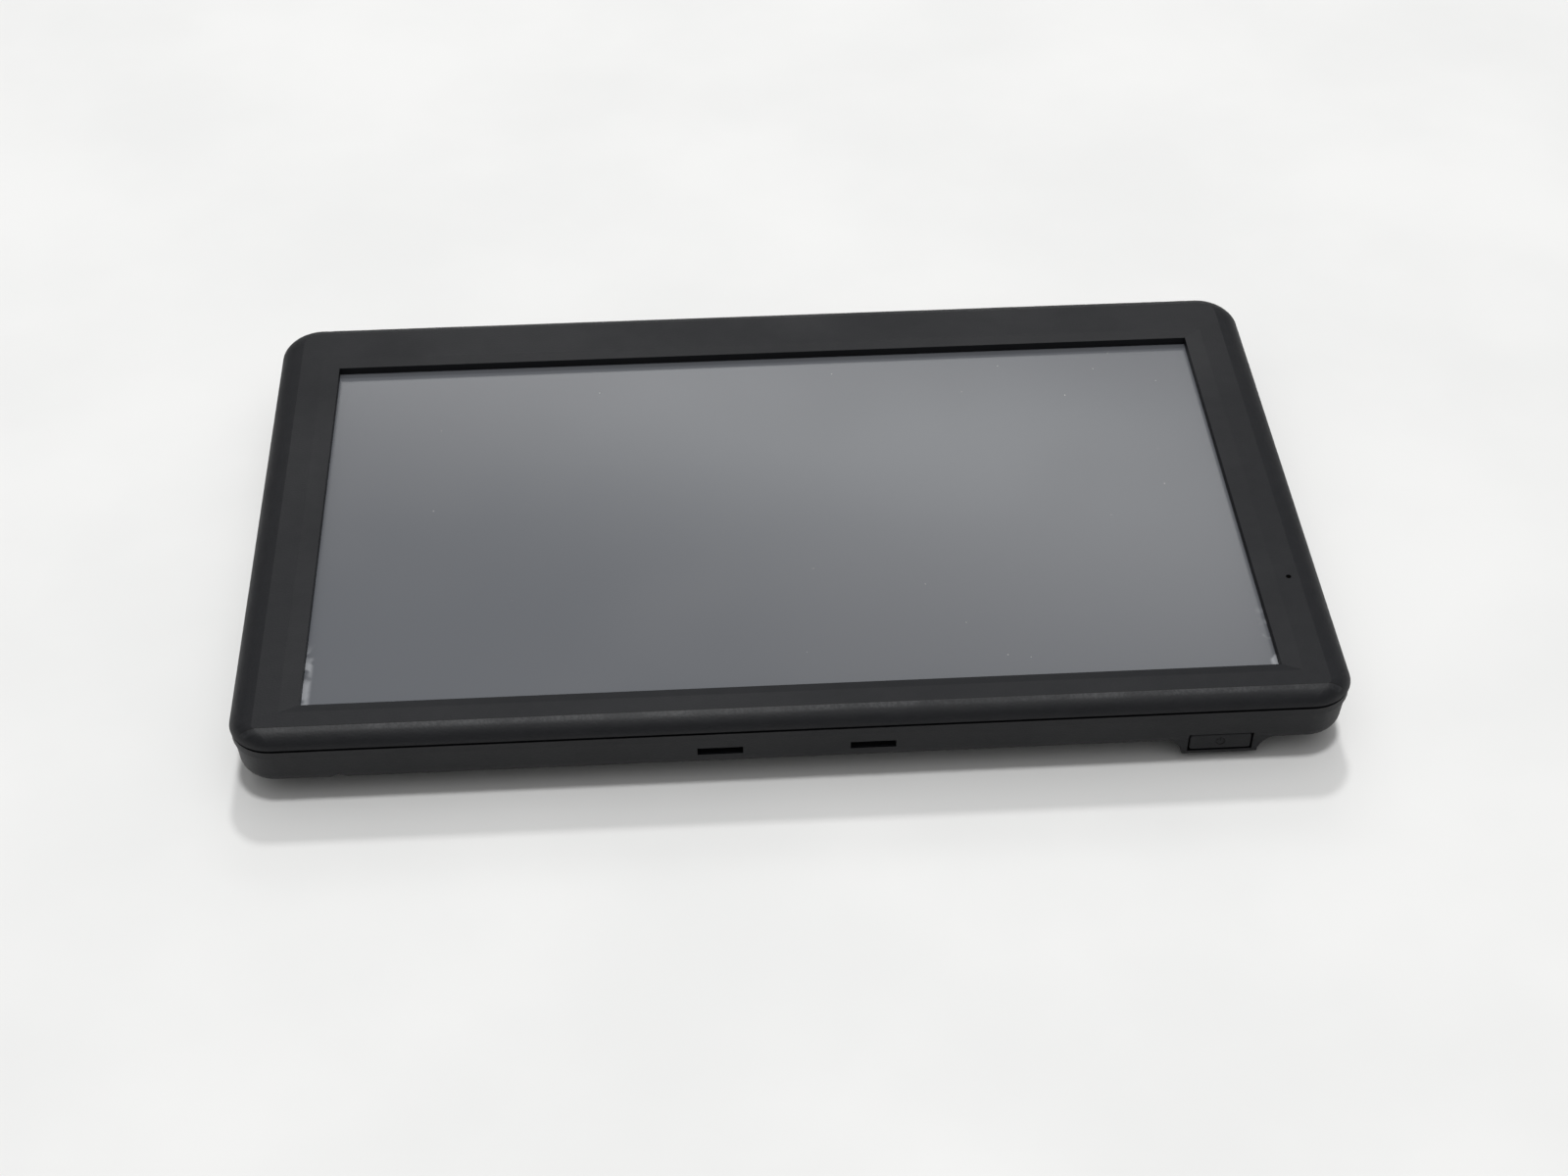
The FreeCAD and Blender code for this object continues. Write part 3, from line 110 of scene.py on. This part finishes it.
def link(material, source, target):
    material.node_tree.links.new(source, target)


def place_on_object(material):
    """The place of each point on the object, from its middle."""
    return add_node(material, "ShaderNodeTexCoord").outputs["Object"]


def noise(material, place, size_mm, detail=2.0, rough=0.5):
    """A noise whose lumps are about size_mm across."""
    node = add_node(material, "ShaderNodeTexNoise")
    node.inputs["Scale"].default_value = 1000.0 / size_mm
    node.inputs["Detail"].default_value = detail
    node.inputs["Roughness"].default_value = rough
    link(material, place, node.inputs["Vector"])
    return node.outputs["Fac"]


def spread(material, value, low, high, to_low, to_high):
    """Maps low..high to to_low..to_high and holds the ends."""
    node = add_node(material, "ShaderNodeMapRange", interpolation_type="SMOOTHSTEP")
    for socket, number in zip(("From Min", "From Max", "To Min", "To Max"),
                              (low, high, to_low, to_high)):
        node.inputs[socket].default_value = number
    link(material, value, node.inputs["Value"])
    return node.outputs["Result"]


def blend_colours(material, share, first, second):
    """first where share is 0, second where it is 1; each is a colour or a socket."""
    node = add_node(material, "ShaderNodeMix", data_type="RGBA")
    link(material, share, node.inputs["Factor"])
    for socket, colour in ((node.inputs[6], first), (node.inputs[7], second)):
        if isinstance(colour, tuple):
            socket.default_value = (*colour, 1.0)
        else:
            link(material, colour, socket)
    return node.outputs[2]


def calculate(material, operation, first, second):
    node = add_node(material, "ShaderNodeMath", operation=operation)
    for socket, value in zip(node.inputs, (first, second)):
        if isinstance(value, (int, float)):
            socket.default_value = value
        else:
            link(material, value, socket)
    return node.outputs[0]


def relief(material, height, strength, depth_mm):
    """Fine relief of a given depth."""
    bump = add_node(material, "ShaderNodeBump")
    bump.inputs["Strength"].default_value = strength
    bump.inputs["Distance"].default_value = depth_mm * MM
    link(material, height, bump.inputs["Height"])
    link(material, bump.outputs["Normal"], shader_of(material).inputs["Normal"])


def shader_of(material):
    return material.node_tree.nodes["Principled BSDF"]


def drive(material, socket, value):
    link(material, value, shader_of(material).inputs[socket])


print("helpers ready")

# %% [markdown]
# ## The case plastic
#
# The case is moulded in black plastic from a spark-eroded tool, so its skin is an even, very
# fine grain that takes the shine off. Three noises make it: one about a third of a millimetre
# across for the grain, a larger one that shifts the colour, and a large soft one that changes
# the shine a little where hands have rubbed it. The colour is not pure black, but a dark grey
# with a breath of blue. On the button's side the top of the roll has a painted highlight, a
# paler speckled band for the overhead lamp's gleam, and a fine dark line of painted shade lies
# in the crease above it, so both are masks made of the distance to that crease.

# %% Case plastic
case_plastic = new_finish("case_plastic", (0.0085, 0.0088, 0.0100), 0.55, IOR=1.40)
place = place_on_object(case_plastic)
grain = noise(case_plastic, place, 0.34, detail=3.0)
rubbed = noise(case_plastic, place, 26.0, detail=3.0)
shine = spread(case_plastic, rubbed, 0.35, 0.7, 0.50, 0.60)
drive(case_plastic, "Roughness", shine)
tint = spread(case_plastic, noise(case_plastic, place, 2.2, detail=6.0), 0.3, 0.7, 0.0, 1.0)
plain_colour = blend_colours(case_plastic, tint, (0.0054, 0.0060, 0.0078),
                             (0.0070, 0.0075, 0.0094))
CREASE_Y = -51.5 * MM
along = add_node(case_plastic, "ShaderNodeSeparateXYZ")
link(case_plastic, place, along.inputs["Vector"])
inward = spread(case_plastic, along.outputs["Y"], CREASE_Y - 0.05 * MM, CREASE_Y + 0.05 * MM,
                1.0, 0.0)
outward = spread(case_plastic, along.outputs["Y"], CREASE_Y - 1.1 * MM, CREASE_Y - 0.5 * MM,
                 0.0, 1.0)
on_top = spread(case_plastic, along.outputs["Z"], 12.4 * MM, 12.9 * MM, 0.0, 1.0)
patches = spread(case_plastic, noise(case_plastic, place, 9.0, detail=3.0), 0.38, 0.62, 0.35,
                 1.0)
specks = spread(case_plastic, noise(case_plastic, place, 0.5, detail=3.0), 0.35, 0.7, 0.4, 1.0)
# The pale band is a painted highlight: it stands in for the overhead lamp's gleam on the upper
# part of the near roll, broken up by patches and specks.
painted_highlight = outward
for part in (inward, on_top, patches, specks):
    painted_highlight = calculate(case_plastic, "MULTIPLY", painted_highlight, part)
painted_highlight_colour = blend_colours(case_plastic, painted_highlight, plain_colour, (0.042, 0.043, 0.046))
# A thin near-black line along the crease, on the top of the roll only, is painted shade.
crease_shade_near = spread(case_plastic, along.outputs["Y"], CREASE_Y - 0.02 * MM,
                   CREASE_Y + 0.03 * MM, 0.0, 1.0)
crease_shade_far = spread(case_plastic, along.outputs["Y"], CREASE_Y + 0.09 * MM,
                  CREASE_Y + 0.16 * MM, 1.0, 0.0)
painted_crease_shade = calculate(case_plastic, "MULTIPLY", crease_shade_near, crease_shade_far)
painted_crease_shade = calculate(case_plastic, "MULTIPLY", painted_crease_shade, on_top)
drive(case_plastic, "Base Color",
      blend_colours(case_plastic, painted_crease_shade, painted_highlight_colour, (0.0015, 0.0015, 0.0018)))
relief(case_plastic, grain, 0.6, 0.06)
print("case plastic", len(case_plastic.node_tree.nodes), "nodes")

# %% [markdown]
# ## The touch film
#
# A pressure-sensitive screen ends in a soft plastic film with a matte coat. It looks grey even
# when the panel is off, because the coat scatters light. The haze is uneven, and old adhesive
# shows as pale marks along the short edges. The marks are a mask made of the distance to the
# edge and a noise that breaks it up.

# %% Touch film
film_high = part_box("touch_film")[1]
touch_film = new_finish("touch_film", (0.105, 0.110, 0.122), 0.3, IOR=1.40)
place = place_on_object(touch_film)
haze = spread(touch_film, noise(touch_film, place, 60.0, detail=2.0), 0.3, 0.7, 0.0, 1.0)
film_colour = blend_colours(touch_film, haze, (0.104, 0.110, 0.122), (0.112, 0.117, 0.128))
across = add_node(touch_film, "ShaderNodeSeparateXYZ")
link(touch_film, place, across.inputs["Vector"])
side = calculate(touch_film, "ABSOLUTE", across.outputs["X"], 0.0)
OPENING_HALF = 77.5 * MM
RESIDUE_STRENGTH = 0.55
near_side = spread(touch_film, side, OPENING_HALF - 1.5 * MM, OPENING_HALF - 0.6 * MM, 0.0, 1.0)
near_end = spread(touch_film, across.outputs["Y"], -30 * MM, -36 * MM, 0.0, 1.0)
torn = spread(touch_film, noise(touch_film, place, 5.0, detail=2.0, rough=0.5), 0.48, 0.56, 0.0,
              1.0)
residue = calculate(touch_film, "MULTIPLY", near_side, near_end)
residue = calculate(touch_film, "MULTIPLY", residue, torn)
residue = calculate(touch_film, "MULTIPLY", residue, RESIDUE_STRENGTH)
drive(touch_film, "Base Color",
      blend_colours(touch_film, residue, film_colour, (0.40, 0.41, 0.43)))
drive(touch_film, "Roughness", spread(touch_film, haze, 0.0, 1.0, 0.19, 0.22))
relief(touch_film, noise(touch_film, place, 0.12, detail=2.0), 0.12, 0.01)
print("touch film", len(touch_film.node_tree.nodes), "nodes")

# %% [markdown]
# ## The hidden and half-hidden finishes
#
# The board, the battery and the metal are behind the screen, and are seen only in the ports and
# in an exploded view. Each still gets its own pattern at its own scale: a brushed grain on the
# metal, a weave on the board, a soft mottling on foam and moulded plastic.

# %% Helpers for the simpler finishes
def mottled(name, dark, light, size_mm, roughness, depth_mm=0.01, **sockets):
    """Two close colours mixed by a noise, with a little relief from the same noise."""
    material = new_finish(name, dark, roughness, **sockets)
    place = place_on_object(material)
    value = noise(material, place, size_mm, detail=4.0)
    share = spread(material, value, 0.3, 0.7, 0.0, 1.0)
    drive(material, "Base Color", blend_colours(material, share, dark, light))
    relief(material, value, 0.4, depth_mm)
    return material


def brushed(name, dark, light, roughness):
    """Metal with a fine grain drawn out along X."""
    material = new_finish(name, dark, roughness, Metallic=1.0)
    stretch = add_node(material, "ShaderNodeMapping")
    stretch.inputs["Scale"].default_value = (0.04, 1.0, 1.0)
    link(material, place_on_object(material), stretch.inputs["Vector"])
    value = noise(material, stretch.outputs["Vector"], 0.25, detail=4.0)
    share = spread(material, value, 0.3, 0.7, 0.0, 1.0)
    drive(material, "Base Color", blend_colours(material, share, dark, light))
    relief(material, value, 0.3, 0.01)
    return material


# %% The finish of each slot of the record
SLOT_FINISHES = {
    "case_plastic": case_plastic,
    "matte_film": touch_film,
    "clear_glass": mottled("clear_glass", (0.10, 0.11, 0.11), (0.12, 0.13, 0.13), 20, 0.08),
    "display_glass": mottled("display_glass", (0.02, 0.02, 0.024), (0.03, 0.03, 0.034), 9, 0.12),
    "light_guide": mottled("light_guide", (0.72, 0.73, 0.74), (0.78, 0.79, 0.80), 6, 0.3),
    "black_foam": mottled("black_foam", (0.004, 0.004, 0.004), (0.009, 0.009, 0.009), 0.4, 0.95,
                          0.08),
    "adhesive": mottled("adhesive", (0.70, 0.68, 0.60), (0.80, 0.78, 0.70), 2, 0.6),
    "steel": brushed("steel", (0.48, 0.48, 0.49), (0.62, 0.62, 0.63), 0.32),
    "screw_steel": mottled("screw_steel", (0.035, 0.035, 0.038), (0.06, 0.06, 0.065), 0.6, 0.38,
                           Metallic=0.6),
    "circuit_board": mottled("circuit_board", (0.008, 0.07, 0.03), (0.012, 0.095, 0.04), 0.5,
                             0.35),
    "chip_resin": mottled("chip_resin", (0.012, 0.012, 0.013), (0.02, 0.02, 0.021), 0.3, 0.6),
    "black_nylon": mottled("black_nylon", (0.010, 0.010, 0.011), (0.016, 0.016, 0.017), 0.5,
                           0.42),
    "connector_plastic": mottled("connector_plastic", (0.66, 0.63, 0.54), (0.74, 0.71, 0.62),
                                 0.6, 0.5),
    "ribbon_film": mottled("ribbon_film", (0.26, 0.10, 0.02), (0.36, 0.15, 0.03), 0.8, 0.3),
    "battery_foil": brushed("battery_foil", (0.50, 0.51, 0.52), (0.60, 0.61, 0.62), 0.4),
    "red_insulation": mottled("red_insulation", (0.36, 0.012, 0.010), (0.46, 0.018, 0.014), 0.5,
                              0.4),
    "black_insulation": mottled("black_insulation", (0.012, 0.012, 0.012), (0.02, 0.02, 0.02),
                                0.5, 0.4),
    "speaker_shell": mottled("speaker_shell", (0.015, 0.015, 0.016), (0.024, 0.024, 0.025), 0.8,
                             0.5),
    "mesh": mottled("mesh", (0.008, 0.008, 0.008), (0.014, 0.014, 0.014), 0.3, 0.7),
    "soft_rubber": mottled("soft_rubber", (0.012, 0.012, 0.012), (0.018, 0.018, 0.018), 0.6,
                           0.75),
    "brass": brushed("brass", (0.62, 0.42, 0.16), (0.74, 0.52, 0.22), 0.3),
}
print(len(SLOT_FINISHES), "finishes")

# %% [markdown]
# ## Dress the solids
#
# The record says which slot each piece belongs to, so one loop gives every piece its finish. The
# meshes stay as they are.

# %% Dress the solids
slot_of = {piece["node"]: piece["material_slot"] for piece in frame["record"]["subparts"]}
for node, solid in frame["nodes"].items():
    finish = SLOT_FINISHES[slot_of[node]]
    if not solid.material_slots:
        solid.data.materials.append(finish)
    for material_slot in solid.material_slots:
        material_slot.material = finish
print("dressed", len(slot_of), "pieces")

# %% [markdown]
# ## The mark on the power button
#
# The button carries the usual on-off sign: a ring broken at its top, with a short bar through the
# gap. It is a raised line a fifth of a millimetre wide, left by an engraving in the mould. It
# could be one swept curve, but a strip built point by point gives clean ends. Each line is a low
# ridge with sloping sides, sunk a little into the face of the button so that no gap shows.

# %% Power mark
button_low, button_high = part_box("power_button")
MARK_CENTRE = Vector(((button_low.x + button_high.x) / 2, button_low.y,
                      (button_low.z + button_high.z) / 2 - 0.2 * MM))
MARK_RADIUS = 0.68 * MM
MARK_LINE = 0.2 * MM
MARK_PROUD = 0.07 * MM
MARK_SUNK = 0.04 * MM
GAP_DEGREES = 64


def ridge(mesh, path):
    """A low ridge along a path of (x, z) points on the button's face, closed at both ends."""
    rings = []
    for number, point in enumerate(path):
        before, after = path[max(number - 1, 0)], path[min(number + 1, len(path) - 1)]
        along = (after - before).normalized()
        side = Vector((-along.y, along.x))
        ring = []
        for across, out in ((-0.5, -MARK_SUNK), (-0.5, MARK_PROUD * 0.3), (-0.28, MARK_PROUD),
                            (0.28, MARK_PROUD), (0.5, MARK_PROUD * 0.3), (0.5, -MARK_SUNK)):
            flat = point + side * (across * MARK_LINE)
            ring.append(mesh.verts.new(MARK_CENTRE + Vector((flat.x, -out, flat.y))))
        rings.append(ring)
    for first, second in zip(rings, rings[1:]):
        for a in range(6):
            b = (a + 1) % 6
            mesh.faces.new((first[a], first[b], second[b], second[a]))
    mesh.faces.new(rings[0])
    mesh.faces.new(tuple(reversed(rings[-1])))


mark = bmesh.new()
half_gap = math.radians(GAP_DEGREES / 2)
RING_STEPS = 40
angles = [math.pi / 2 + half_gap + (2 * math.pi - 2 * half_gap) * step / RING_STEPS
          for step in range(RING_STEPS + 1)]
ridge(mark, [Vector((math.cos(a), math.sin(a))) * MARK_RADIUS for a in angles])
ridge(mark, [Vector((0, 0.15 * MM + 0.8 * MM * step / 4)) for step in range(5)])
bmesh.ops.recalc_face_normals(mark, faces=mark.faces)
mark_mesh = bpy.data.meshes.new("power_mark")
mark.to_mesh(mark_mesh)
mark.free()
power_mark = bpy.data.objects.new("power_mark", mark_mesh)
bpy.context.collection.objects.link(power_mark)
# The mark is coloured near black, far darker than the button's plastic: painted shade standing in
# for the shade of an engraved line.
mark_mesh.materials.append(mottled("mark_ink", (0.0006, 0.0006, 0.0008),
                                   (0.0012, 0.0012, 0.0015), 0.2, 0.8))
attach(power_mark, "button")
print("power mark", len(mark_mesh.polygons), "faces")

# %% [markdown]
# ## Dust and lint on the film
#
# A few pale specks lie on the film. They are many small alike pieces, so they are
# scattered by a node tree: points on a thin sheet over the film, a flattened ball on each, with
# its own size and turn. The named inputs say how many there are and how big they get, and the
# seed keeps them where they are.

# %% Dust tree
def tree_input(tree, name, kind, value):
    socket = tree.interface.new_socket(name=name, in_out="INPUT", socket_type=kind)
    socket.default_value = value
    return socket.identifier


DUST = {"Density": 1600.0, "Largest": 0.16 * MM, "Smallest": 0.04 * MM, "Seed": 4}


def build_dust_tree():
    tree = bpy.data.node_groups.new("dust", "GeometryNodeTree")
    tree.interface.new_socket(name="Geometry", in_out="INPUT", socket_type="NodeSocketGeometry")
    names = {
        "Density": tree_input(tree, "Density", "NodeSocketFloat", DUST["Density"]),
        "Largest": tree_input(tree, "Largest", "NodeSocketFloat", DUST["Largest"]),
        "Smallest": tree_input(tree, "Smallest", "NodeSocketFloat", DUST["Smallest"]),
        "Seed": tree_input(tree, "Seed", "NodeSocketInt", DUST["Seed"]),
        "Finish": tree_input(tree, "Finish", "NodeSocketMaterial", None),
    }
    tree.interface.new_socket(name="Geometry", in_out="OUTPUT", socket_type="NodeSocketGeometry")
    add, join = tree.nodes.new, tree.links.new
    start, end = add("NodeGroupInput"), add("NodeGroupOutput")
    scatter = add("GeometryNodeDistributePointsOnFaces")
    join(start.outputs["Geometry"], scatter.inputs["Mesh"])
    join(start.outputs["Density"], scatter.inputs["Density"])
    join(start.outputs["Seed"], scatter.inputs["Seed"])
    ball = add("GeometryNodeMeshIcoSphere")
    ball.inputs["Radius"].default_value = 1.0
    ball.inputs["Subdivisions"].default_value = 1
    size = add("FunctionNodeRandomValue")
    join(start.outputs["Smallest"], size.inputs[2])
    join(start.outputs["Largest"], size.inputs[3])
    join(start.outputs["Seed"], size.inputs["Seed"])
    turn = add("FunctionNodeRandomValue")
    turn.data_type = "FLOAT_VECTOR"
    turn.inputs[0].default_value = (0.0, 0.0, 0.0)
    turn.inputs[1].default_value = (0.0, 0.0, 6.28)
    flat = add("ShaderNodeVectorMath")
    flat.operation = "MULTIPLY"
    flat.inputs[1].default_value = (1.0, 0.45, 0.3)
    join(size.outputs[1], flat.inputs[0])
    copies = add("GeometryNodeInstanceOnPoints")
    join(scatter.outputs["Points"], copies.inputs["Points"])
    join(ball.outputs["Mesh"], copies.inputs["Instance"])
    join(turn.outputs[0], copies.inputs["Rotation"])
    join(flat.outputs[0], copies.inputs["Scale"])
    real = add("GeometryNodeRealizeInstances")
    join(copies.outputs["Instances"], real.inputs["Geometry"])
    dress = add("GeometryNodeSetMaterial")
    join(real.outputs["Geometry"], dress.inputs["Geometry"])
    join(start.outputs["Finish"], dress.inputs["Material"])
    join(dress.outputs["Geometry"], end.inputs["Geometry"])
    return tree, names


# %% Scatter the dust
lint = mottled("lint", (0.50, 0.50, 0.48), (0.70, 0.70, 0.68), 0.1, 0.9)
sheet_z = film_high.z
SHEET_X, SHEET_NEAR, SHEET_FAR = 76 * MM, -45 * MM, 39 * MM
sheet_mesh = bpy.data.meshes.new("dust_sheet")
sheet_mesh.from_pydata([(-SHEET_X, SHEET_NEAR, sheet_z), (SHEET_X, SHEET_NEAR, sheet_z),
                        (SHEET_X, SHEET_FAR, sheet_z), (-SHEET_X, SHEET_FAR, sheet_z)],
                       [], [(0, 1, 2, 3)])
sheet = bpy.data.objects.new("dust_sheet", sheet_mesh)
bpy.context.collection.objects.link(sheet)
dust_tree, dust_inputs = build_dust_tree()
scatterer = sheet.modifiers.new("dust", "NODES")
scatterer.node_group = dust_tree
for name, value in (DUST | {"Finish": lint}).items():
    scatterer[dust_inputs[name]] = value
bpy.context.view_layer.update()
evaluated = sheet.evaluated_get(bpy.context.evaluated_depsgraph_get())
dust_mesh = bpy.data.meshes.new_from_object(evaluated)
bpy.data.objects.remove(sheet)
film_dust = bpy.data.objects.new("film_dust", dust_mesh)
bpy.context.collection.objects.link(film_dust)
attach(film_dust, "reader")
print("dust", len(dust_mesh.polygons), "faces")

# %% [markdown]
# ## Floor and light
#
# The object lies on a pale board under four lights: a small one straight above, which draws the
# dark line right under the edge; a second small one high behind, which throws the faint shadow
# towards the viewer; a long panel at the far side, which gives the matte film its soft slanting
# gleam; and a white room that fills the rest, bright overhead and dim near the floor. Sun lamps
# suit the two small lights, because their shadows must keep one direction over the whole floor.

# %% Floor
FLOOR_HALF = 1.6
floor_mesh = bpy.data.meshes.new("floor")
corners = [(-FLOOR_HALF, -FLOOR_HALF, 0), (FLOOR_HALF, -FLOOR_HALF, 0),
           (FLOOR_HALF, FLOOR_HALF, 0), (-FLOOR_HALF, FLOOR_HALF, 0)]
floor_mesh.from_pydata(corners, [], [(0, 1, 2, 3)])
floor = bpy.data.objects.new("floor", floor_mesh)
bpy.context.collection.objects.link(floor)
floor_finish = new_finish("pale_board", (0.78, 0.78, 0.77), 0.6, IOR=1.4)
place = place_on_object(floor_finish)
cloud = spread(floor_finish, noise(floor_finish, place, 70.0, detail=4.0), 0.3, 0.7, 0.0, 1.0)
drive(floor_finish, "Base Color",
      blend_colours(floor_finish, cloud, (0.755, 0.757, 0.750), (0.800, 0.800, 0.792)))
floor.data.materials.append(floor_finish)
print("floor", FLOOR_HALF * 2, "m wide")

# %% [markdown]
# ## The three lamps
#
# A lamp can be let into a shiny surface's gleam or kept out of it. The one behind is kept out,
# because its own gleam would fall on the near half of the film, where there is none. The panel
# does that work in its place.

# %% Lights
def sun(name, towards, strength, angle_degrees):
    """A far lamp: towards points from the object to the lamp."""
    data = bpy.data.lights.new(name, "SUN")
    data.energy = strength
    data.angle = math.radians(angle_degrees)
    lamp = bpy.data.objects.new(name, data)
    lamp.rotation_euler = Vector(towards).to_track_quat("Z", "Y").to_euler()
    bpy.context.collection.objects.link(lamp)
    return lamp


SUN_WIDTH = 6.0
sun("overhead", (0.02, -0.03, 1.0), 1.22, SUN_WIDTH)
behind = sun("behind", (0.05, 0.75, 1.0), 1.02, SUN_WIDTH)
behind.visible_glossy = False

panel_data = bpy.data.lights.new("panel", "AREA")
panel_data.shape = "RECTANGLE"
panel_data.size, panel_data.size_y = 0.84, 0.13
panel_data.energy = 1.7
panel = bpy.data.objects.new("panel", panel_data)
panel.location = (0.02, 1.03, 0.77)
PANEL_TILT = math.radians(-16)
aim = (panel.location - Vector((0.0, 0.02, 0.012))).to_track_quat("Z", "Y")
panel.rotation_euler = (aim @ Matrix.Rotation(PANEL_TILT, 3, "Z").to_quaternion()).to_euler()
bpy.context.collection.objects.link(panel)

room = bpy.data.worlds.new("room")
room.use_nodes = True
ROOM_LOW, ROOM_HIGH = 0.05, 0.60
sky = room.node_tree
direction = sky.nodes.new("ShaderNodeTexCoord")
height = sky.nodes.new("ShaderNodeSeparateXYZ")
ramp = sky.nodes.new("ShaderNodeMapRange")
for socket, number in zip(("From Min", "From Max", "To Min", "To Max"),
                          (0.12, 0.85, ROOM_LOW, ROOM_HIGH)):
    ramp.inputs[socket].default_value = number
sky.links.new(direction.outputs["Generated"], height.inputs["Vector"])
sky.links.new(height.outputs["Z"], ramp.inputs["Value"])
sky.links.new(ramp.outputs["Result"], sky.nodes["Background"].inputs["Strength"])
sky.nodes["Background"].inputs["Color"].default_value = (1.0, 1.0, 1.0, 1.0)
bpy.context.scene.world = room
print("two suns, a panel and a room")
